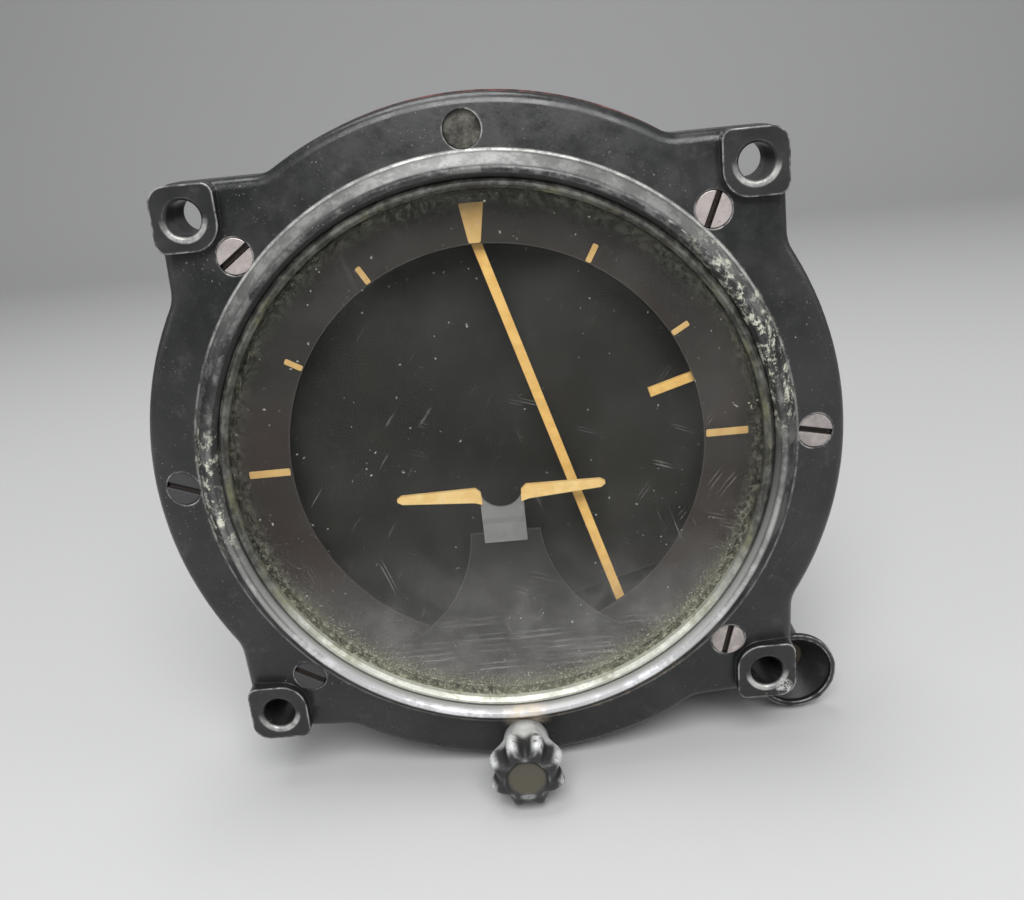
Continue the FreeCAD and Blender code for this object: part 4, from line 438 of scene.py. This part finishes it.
def cream_paint(name, low, high):
    """Old luminous paint: tan, blotchy, darker where it is thin at the edges."""
    g = Graph(name)
    colour = g.blend(g.band(g.noise(420, 5, 0.6), 0.35, 0.68), low, high)
    blotches = g.band(g.noise(1400, 4, 0.7, offset=3.0), 0.60, 0.74)
    colour = g.blend(g.times(blotches, 0.35), colour, (0.40, 0.25, 0.10))
    colour = g.blend(g.times(g.edges(0.14 * MM), 0.40), colour, (0.42, 0.26, 0.10))
    return g.finish(g.surface(colour, 0.62, 0.0, g.relief(g.noise(1600, 4), 0.03 * MM)))


def plain_metal(name, colour, dark, roughness, wear=0.0):
    """Machined or plated metal with stains, dark spots and, with wear, bright edges."""
    g = Graph(name)
    stain = g.band(g.noise(260, 6, 0.7), 0.42, 0.70)
    spots = g.band(g.noise(900, 5, 0.75, offset=6.6), 0.60, 0.70)
    base = g.blend(g.times(stain, 0.65), colour, dark)
    base = g.blend(g.times(spots, 0.6), base, dark)
    if wear:
        base = g.blend(g.times(g.edges(0.25 * MM), wear), base, (0.62, 0.61, 0.57))
    normal = g.relief(g.noise(1800, 4), 0.012 * MM, 0.12 * MM)
    return g.finish(g.surface(base, g.level(stain, roughness, roughness + 0.2),
                              g.level(stain, 1.0, 0.7), normal))


def ring_screw_metal():
    """Plated heads: bright above and at the right, dark with dirt at the left; slots dark with dirt and painted
    shade.
    """
    g = Graph("ring_screw_plating")
    upper = g.times(g.band(g.z, 18 * MM, 34 * MM),
                    g.band(g.math("ABSOLUTE", g.x), 12 * MM, 30 * MM))
    right = g.times(g.band(g.x, 40 * MM, 55 * MM), 0.62)
    lower = g.times(g.band(g.x, 30 * MM, 42 * MM), g.band(g.z, -30 * MM, -40 * MM), 0.75)
    patch = g.band(g.noise(420, 5, 0.7), 0.36, 0.62)
    share = g.times(g.most(upper, right, lower), g.level(patch, 1.0, 0.62))
    colour = g.blend(share, (0.030, 0.030, 0.031), (0.56, 0.50, 0.48))
    specks = g.band(g.noise(1300, 5, 0.75, offset=2.0), 0.60, 0.70)
    colour = g.blend(g.times(specks, 0.6), colour, (0.10, 0.08, 0.07))
    # Painted shade with dirt: dark brown deep in the slots and corners, from ambient occlusion
    colour = g.blend(g.hollows(1.2 * MM), colour, SLOT_DIRT_AND_SHADE)
    normal = g.relief(g.noise(1500, 4), 0.03 * MM, 0.3 * MM)
    return g.finish(g.surface(colour, g.level(share, 0.55, 0.36), g.times(share, 0.75), normal))


def knob_metal():
    """Black cast knob, rubbed to grey metal along its ridges and over its neck."""
    g = Graph("caging_knob_metal")
    radius = g.reach(0.0, KNOB_Z)
    angle = g.math("ARCTAN2", g.x, g.less(g.z, KNOB_Z))
    lobe = g.band(g.math("COSINE", g.times(angle, KNOB_LOBES)), 0.3, -0.9)
    patch = g.noise(520, 6, 0.75)
    body = g.window(g.y, -14.6 * MM, -5.0 * MM, 0.8 * MM)
    outside_dish = g.band(radius, 4.1 * MM, 4.7 * MM)
    ridge = g.times(lobe, body, g.band(patch, 0.34, 0.54), outside_dish)
    neck = g.times(g.band(g.y, -11.0 * MM, -7.5 * MM), g.band(patch, 0.24, 0.44))
    edge = g.times(g.edges(0.40 * MM), g.level(g.band(patch, 0.4, 0.6), 0.2, 0.9))
    share = g.most(ridge, edge, neck)
    colour = g.blend(share, (0.010, 0.010, 0.011), (0.60, 0.61, 0.60))
    dish = g.times(g.band(radius, 4.1 * MM, 3.2 * MM), g.band(g.y, -12 * MM, -14 * MM))
    colour = g.blend(g.times(dish, 0.85), colour, (0.070, 0.064, 0.044))
    normal = g.relief(g.noise(900, 5, 0.7), 0.06 * MM)
    return g.finish(g.surface(colour, g.level(share, 0.38, 0.34), g.times(share, 0.40), normal))


def soft_material(name, dark, light, roughness=0.8):
    """Rubber, packing or seal compound."""
    g = Graph(name)
    colour = g.blend(g.band(g.noise(300, 5, 0.7), 0.38, 0.66), dark, light)
    normal = g.relief(g.noise(1200, 5, 0.7), 0.05 * MM)
    return g.finish(g.surface(colour, roughness, 0.0, normal))


aluminium = plain_metal("machined_aluminium", (0.60, 0.60, 0.58), (0.30, 0.30, 0.28), 0.34)
steel = plain_metal("ground_steel", (0.50, 0.50, 0.50), (0.24, 0.22, 0.20), 0.26)
brass = plain_metal("dull_brass", (0.52, 0.38, 0.16), (0.22, 0.14, 0.06), 0.34, wear=0.4)
wire = plain_metal("screen_wire", (0.09, 0.08, 0.06), (0.035, 0.03, 0.025), 0.5)
fastener = plain_metal("fastener_steel", (0.36, 0.35, 0.33), (0.10, 0.09, 0.08), 0.36, wear=0.5)
bezel_paint = painted_casting("bezel_paint", gloss=0.26, ringed=True)
case_paint = painted_casting("case_paint", gloss=0.37)
cream = cream_paint("cream_paint_bar", (0.76, 0.44, 0.125), (0.88, 0.56, 0.18))
wing_cream = cream_paint("cream_paint_wings", (0.86, 0.56, 0.21), (0.94, 0.67, 0.30))
dial_cream = cream_paint("cream_paint_dial", (0.80, 0.50, 0.18), (0.90, 0.61, 0.25))
mask = flat_paint("dial_mask_paint", (0.015, 0.0135, 0.012), (0.025, 0.0225, 0.020), 0.6,
                  tint=(0.029, 0.014, 0.012))
disc = flat_paint("disc_paint", (0.005, 0.0053, 0.004), (0.009, 0.0094, 0.0075), 0.68,
                  tint=(0.012, 0.010, 0.006))
shield = flat_paint("shield_paint", (0.008, 0.008, 0.008), (0.016, 0.016, 0.016), 0.58)
# Painted highlight: the bracket's grey is raised to stand for its glossy shine under the light
sheen = flat_paint("bracket_paint_painted_highlight", (0.120, 0.120, 0.126), (0.240, 0.240, 0.252), 0.32)
rubber = soft_material("window_rubber", (0.012, 0.012, 0.011), (0.040, 0.038, 0.030))
sealing = soft_material("seal_compound", (0.018, 0.016, 0.012), (0.120, 0.118, 0.095), 0.55)
sheet = soft_material("gasket_sheet", (0.030, 0.014, 0.014), (0.20, 0.070, 0.060), 0.75)

LOOKS = {
    "bezel_frame": bezel_paint, "retaining_ring": ring_metal(), "cover_glass": dirty_glass(),
    "glass_gasket": rubber, "dial_mask": mask, "mask_ring": mask, "lower_shield": shield,
    "airplane_bracket": sheen, "airplane_wings": wing_cream, "bezel_screws": ring_screw_metal(),
    "seal_plug": sealing, "frame_gasket": sheet, "case_body": case_paint, "rear_gasket": sheet,
    "rear_cover": case_paint, "rear_screws": fastener, "suction_fitting": brass,
    "inlet_elbow": case_paint, "inlet_screen": wire, "bearing_arm": aluminium,
    "arm_screws": fastener, "front_bearing": steel, "rear_bearing": steel,
    "caging_knob": knob_metal(), "caging_shaft": steel, "caging_bush": brass,
    "shaft_packing": rubber, "caging_cam": steel, "caging_plunger": steel,
    "plunger_guide": brass, "gimbal_frame": aluminium, "horizon_disc": disc,
    "bank_index": cream, "pitch_bearings": steel, "balance_weights": brass,
    "arm_pivot_screw": fastener, "rotor_housing": aluminium, "housing_cover": aluminium,
    "vane_chamber": aluminium, "spin_bearings": steel, "housing_screws": fastener,
    "pitch_pivots": steel, "guide_pin": steel, "rotor": brass, "rotor_shaft": steel,
    "vanes_pitch": brass, "vanes_roll": brass, "horizon_bar": cream, "bar_arm": aluminium,
    "bar_counterweight": brass,
}
for name, thing in nodes.items():
    thing.data.materials.clear()
    thing.data.materials.append(LOOKS[name])


# ---------------------------------------------------------------- the scene's own pieces

def make_piece(name, mesh, material, smooth=False):
    """Object of a mesh under construction, which is used up, with one material."""
    data = bpy.data.meshes.new(name)
    mesh.to_mesh(data)
    mesh.free()
    for face in data.polygons:
        face.use_smooth = smooth
    data.materials.append(material)
    piece = bpy.data.objects.new(name, data)
    bpy.context.scene.collection.objects.link(piece)
    return piece


# Caging knob from shank to dish, in millimetres: place in depth, ridge radius, valley radius
KNOB_PROFILE = (
    (-1.25, 1.9, 1.9), (-1.25, 4.2, 4.2), (-1.6, 4.65, 4.65), (-4.0, 4.9, 4.6),
    (-5.6, 5.4, 4.85), (-7.4, 6.2, 5.25), (-9.2, 7.1, 5.7), (-10.8, 7.75, 6.0),
    (-12.2, 7.9, 6.0), (-13.4, 7.65, 5.75), (-14.4, 7.1, 5.4), (-15.1, 6.5, 5.1),
    (-15.6, 5.85, 4.8), (-15.82, 5.3, 4.6), (-15.88, 4.9, 4.45), (-15.82, 4.5, 4.2),
    (-15.5, 4.15, 4.0), (-15.1, 3.7, 3.65), (-14.95, 3.0, 3.0), (-14.9, 0.6, 0.6))
LOBE_STEPS = 18                    # points round one ridge
LOBE_SHARPNESS = 1.1               # above one, the ridges are narrower than the valleys


def lobed_knob(material):
    """Caging knob whose rounded ridges run from the neck out over the front rim."""
    around = LOBE_STEPS * KNOB_LOBES
    mesh = bmesh.new()
    rings = []
    for depth, ridge, valley in KNOB_PROFILE:
        ring = []
        for step in range(around):
            turn = 2 * math.pi * step / around
            lobe = (0.5 - 0.5 * math.cos(KNOB_LOBES * turn)) ** LOBE_SHARPNESS
            reach = (valley + (ridge - valley) * lobe) * MM
            ring.append(mesh.verts.new((reach * math.sin(turn), depth * MM,
                                        KNOB_Z + reach * math.cos(turn))))
        rings.append(ring)
    for first, second in zip(rings, rings[1:]):
        for step in range(around):
            following = (step + 1) % around
            mesh.faces.new((first[step], first[following], second[following], second[step]))
    mesh.faces.new(rings[-1])
    bmesh.ops.recalc_face_normals(mesh, faces=mesh.faces)
    piece = make_piece("knob_ridges", mesh, material, smooth=True)
    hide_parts("caging_knob")
    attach(piece, "knob")


# Marks on the mask, in millimetres: inner radius, outer radius, width
SIDE_MARK = (41.1, 49.3, 1.5)
BANK_MARK = (40.9, 44.5, 1.1)
TOP_MARK = (40.9, 48.2, 4.6)
TOP_TAPER = 1.2                    # how far each side of the top mark leans in at its inner end
CORNER_CUT = 0.18
PAINT_THICK = 0.08 * MM


def tick(angle, inner, outer, width, taper=0.0):
    """Radial mark at an angle clockwise from the top, with its corners cut off."""
    turn = math.radians(angle)
    out = Vector((math.sin(turn), math.cos(turn)))
    side = Vector((out.y, -out.x))
    corners = [out * reach + side * across
               for reach, across in ((inner, -width / 2 + taper), (inner, width / 2 - taper),
                                     (outer, width / 2), (outer, -width / 2))]
    loop = []
    for index, here in enumerate(corners):
        for there in (corners[index - 1], corners[(index + 1) % len(corners)]):
            loop.append(tuple(here + (there - here).normalized() * CORNER_CUT))
    return loop


def dial_marks(marks, material):
    """Thin raised paint on the mask's face; each mark is a loop of (across, up) pairs."""
    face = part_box("dial_mask")[0].y
    mesh = bmesh.new()
    for loop in marks:
        front = [mesh.verts.new((x * MM, face - PAINT_THICK, z * MM)) for x, z in loop]
        back = [mesh.verts.new((x * MM, face, z * MM)) for x, z in loop]
        mesh.faces.new(front)
        mesh.faces.new(list(reversed(back)))
        for index in range(len(loop)):
            following = (index + 1) % len(loop)
            mesh.faces.new((front[following], front[index], back[index], back[following]))
    bmesh.ops.recalc_face_normals(mesh, faces=mesh.faces)
    piece = make_piece("dial_marks", mesh, material)
    rounding = piece.modifiers.new("rounding", "BEVEL")
    rounding.width = PAINT_THICK * 0.4
    rounding.segments = 2
    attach(piece, "case")


lobed_knob(LOOKS["caging_knob"])
ticks = [tick(angle, *SIDE_MARK) for angle in (-90, 90)]
ticks += [tick(angle, *BANK_MARK) for angle in (-60, -30, 30, 60)]
ticks.append(tick(0, *TOP_MARK, taper=TOP_TAPER))
dial_marks(ticks, dial_cream)


# ---------------------------------------------------------------- floor, light and camera

# Backdrop, in metres
FLOOR_GAP = 0.0002                 # the floor lies this far below the lowest piece
FLOOR_NEAR, FLOOR_FAR = -1.2, 0.9
SWEEP_RADIUS = 0.5
WALL_TOP = 2.2
HALF_WIDTH = 2.4


def paper():
    g = Graph("backdrop_paper")
    return g.finish(g.surface((0.40, 0.40, 0.40), 0.85))


def backdrop():
    """Pale paper that lies under the part and sweeps up behind it."""
    level = cad_low.z - FLOOR_GAP
    profile = [(FLOOR_NEAR, 0.0), (FLOOR_FAR, 0.0)]
    profile += [(FLOOR_FAR + SWEEP_RADIUS * math.sin(turn),
                 SWEEP_RADIUS - SWEEP_RADIUS * math.cos(turn))
                for turn in (math.radians(step) for step in range(10, 91, 10))]
    profile.append((FLOOR_FAR + SWEEP_RADIUS, WALL_TOP))
    mesh = bmesh.new()
    left, right = [[mesh.verts.new((x, y, level + z)) for y, z in profile]
                   for x in (-HALF_WIDTH, HALF_WIDTH)]
    for index in range(len(profile) - 1):
        mesh.faces.new((left[index], right[index], right[index + 1], left[index + 1]))
    make_piece("backdrop", mesh, paper(), smooth=True)


def area_light(name, place, target, size, power):
    lamp = bpy.data.lights.new(name, "AREA")
    lamp.shape = "RECTANGLE"
    lamp.size, lamp.size_y = size
    lamp.energy = power
    light = bpy.data.objects.new(name, lamp)
    bpy.context.scene.collection.objects.link(light)
    light.location = place
    aim = Vector(target) - Vector(place)
    light.rotation_euler = aim.to_track_quat("-Z", "Y").to_euler()


backdrop()
area_light("overhead", (-0.10, 0.14, 0.95), (0, 0.02, 0), (0.6, 0.45), 6.0)
area_light("front", (0.05, -0.78, 0.80), (0, 0, 0), (0.9, 0.6), 17.5)
area_light("left_fill", (-0.9, -0.35, 0.45), (0, 0, 0), (0.6, 0.6), 2.0)
area_light("right_fill", (0.9, -0.25, 0.45), (0, 0, 0), (0.5, 0.5), 2.0)

world = bpy.data.worlds.new("studio")
bpy.context.scene.world = world
world.use_nodes = True
world.node_tree.nodes["Background"].inputs[0].default_value = (0.95, 0.97, 1.0, 1.0)
world.node_tree.nodes["Background"].inputs[1].default_value = 0.28

eye = Vector((8.6, -185.2, 63.8)) * MM
ahead = Vector((-0.02805, 0.94843, -0.31575)).normalized()
upward = Vector((0.09233, 0.31698, 0.94393))
right = ahead.cross(upward).normalized()
upward = right.cross(ahead)
camera_data = bpy.data.cameras.new("camera")
camera_data.lens = 36.0
camera_data.sensor_width = 36.0
camera_data.clip_start = 0.005
camera = bpy.data.objects.new("camera", camera_data)
bpy.context.scene.collection.objects.link(camera)
turn = Matrix((right, upward, -ahead)).transposed()
camera.matrix_world = Matrix.Translation(eye) @ turn.to_4x4()
bpy.context.scene.camera = camera
bpy.context.scene.view_settings.view_transform = "Standard"
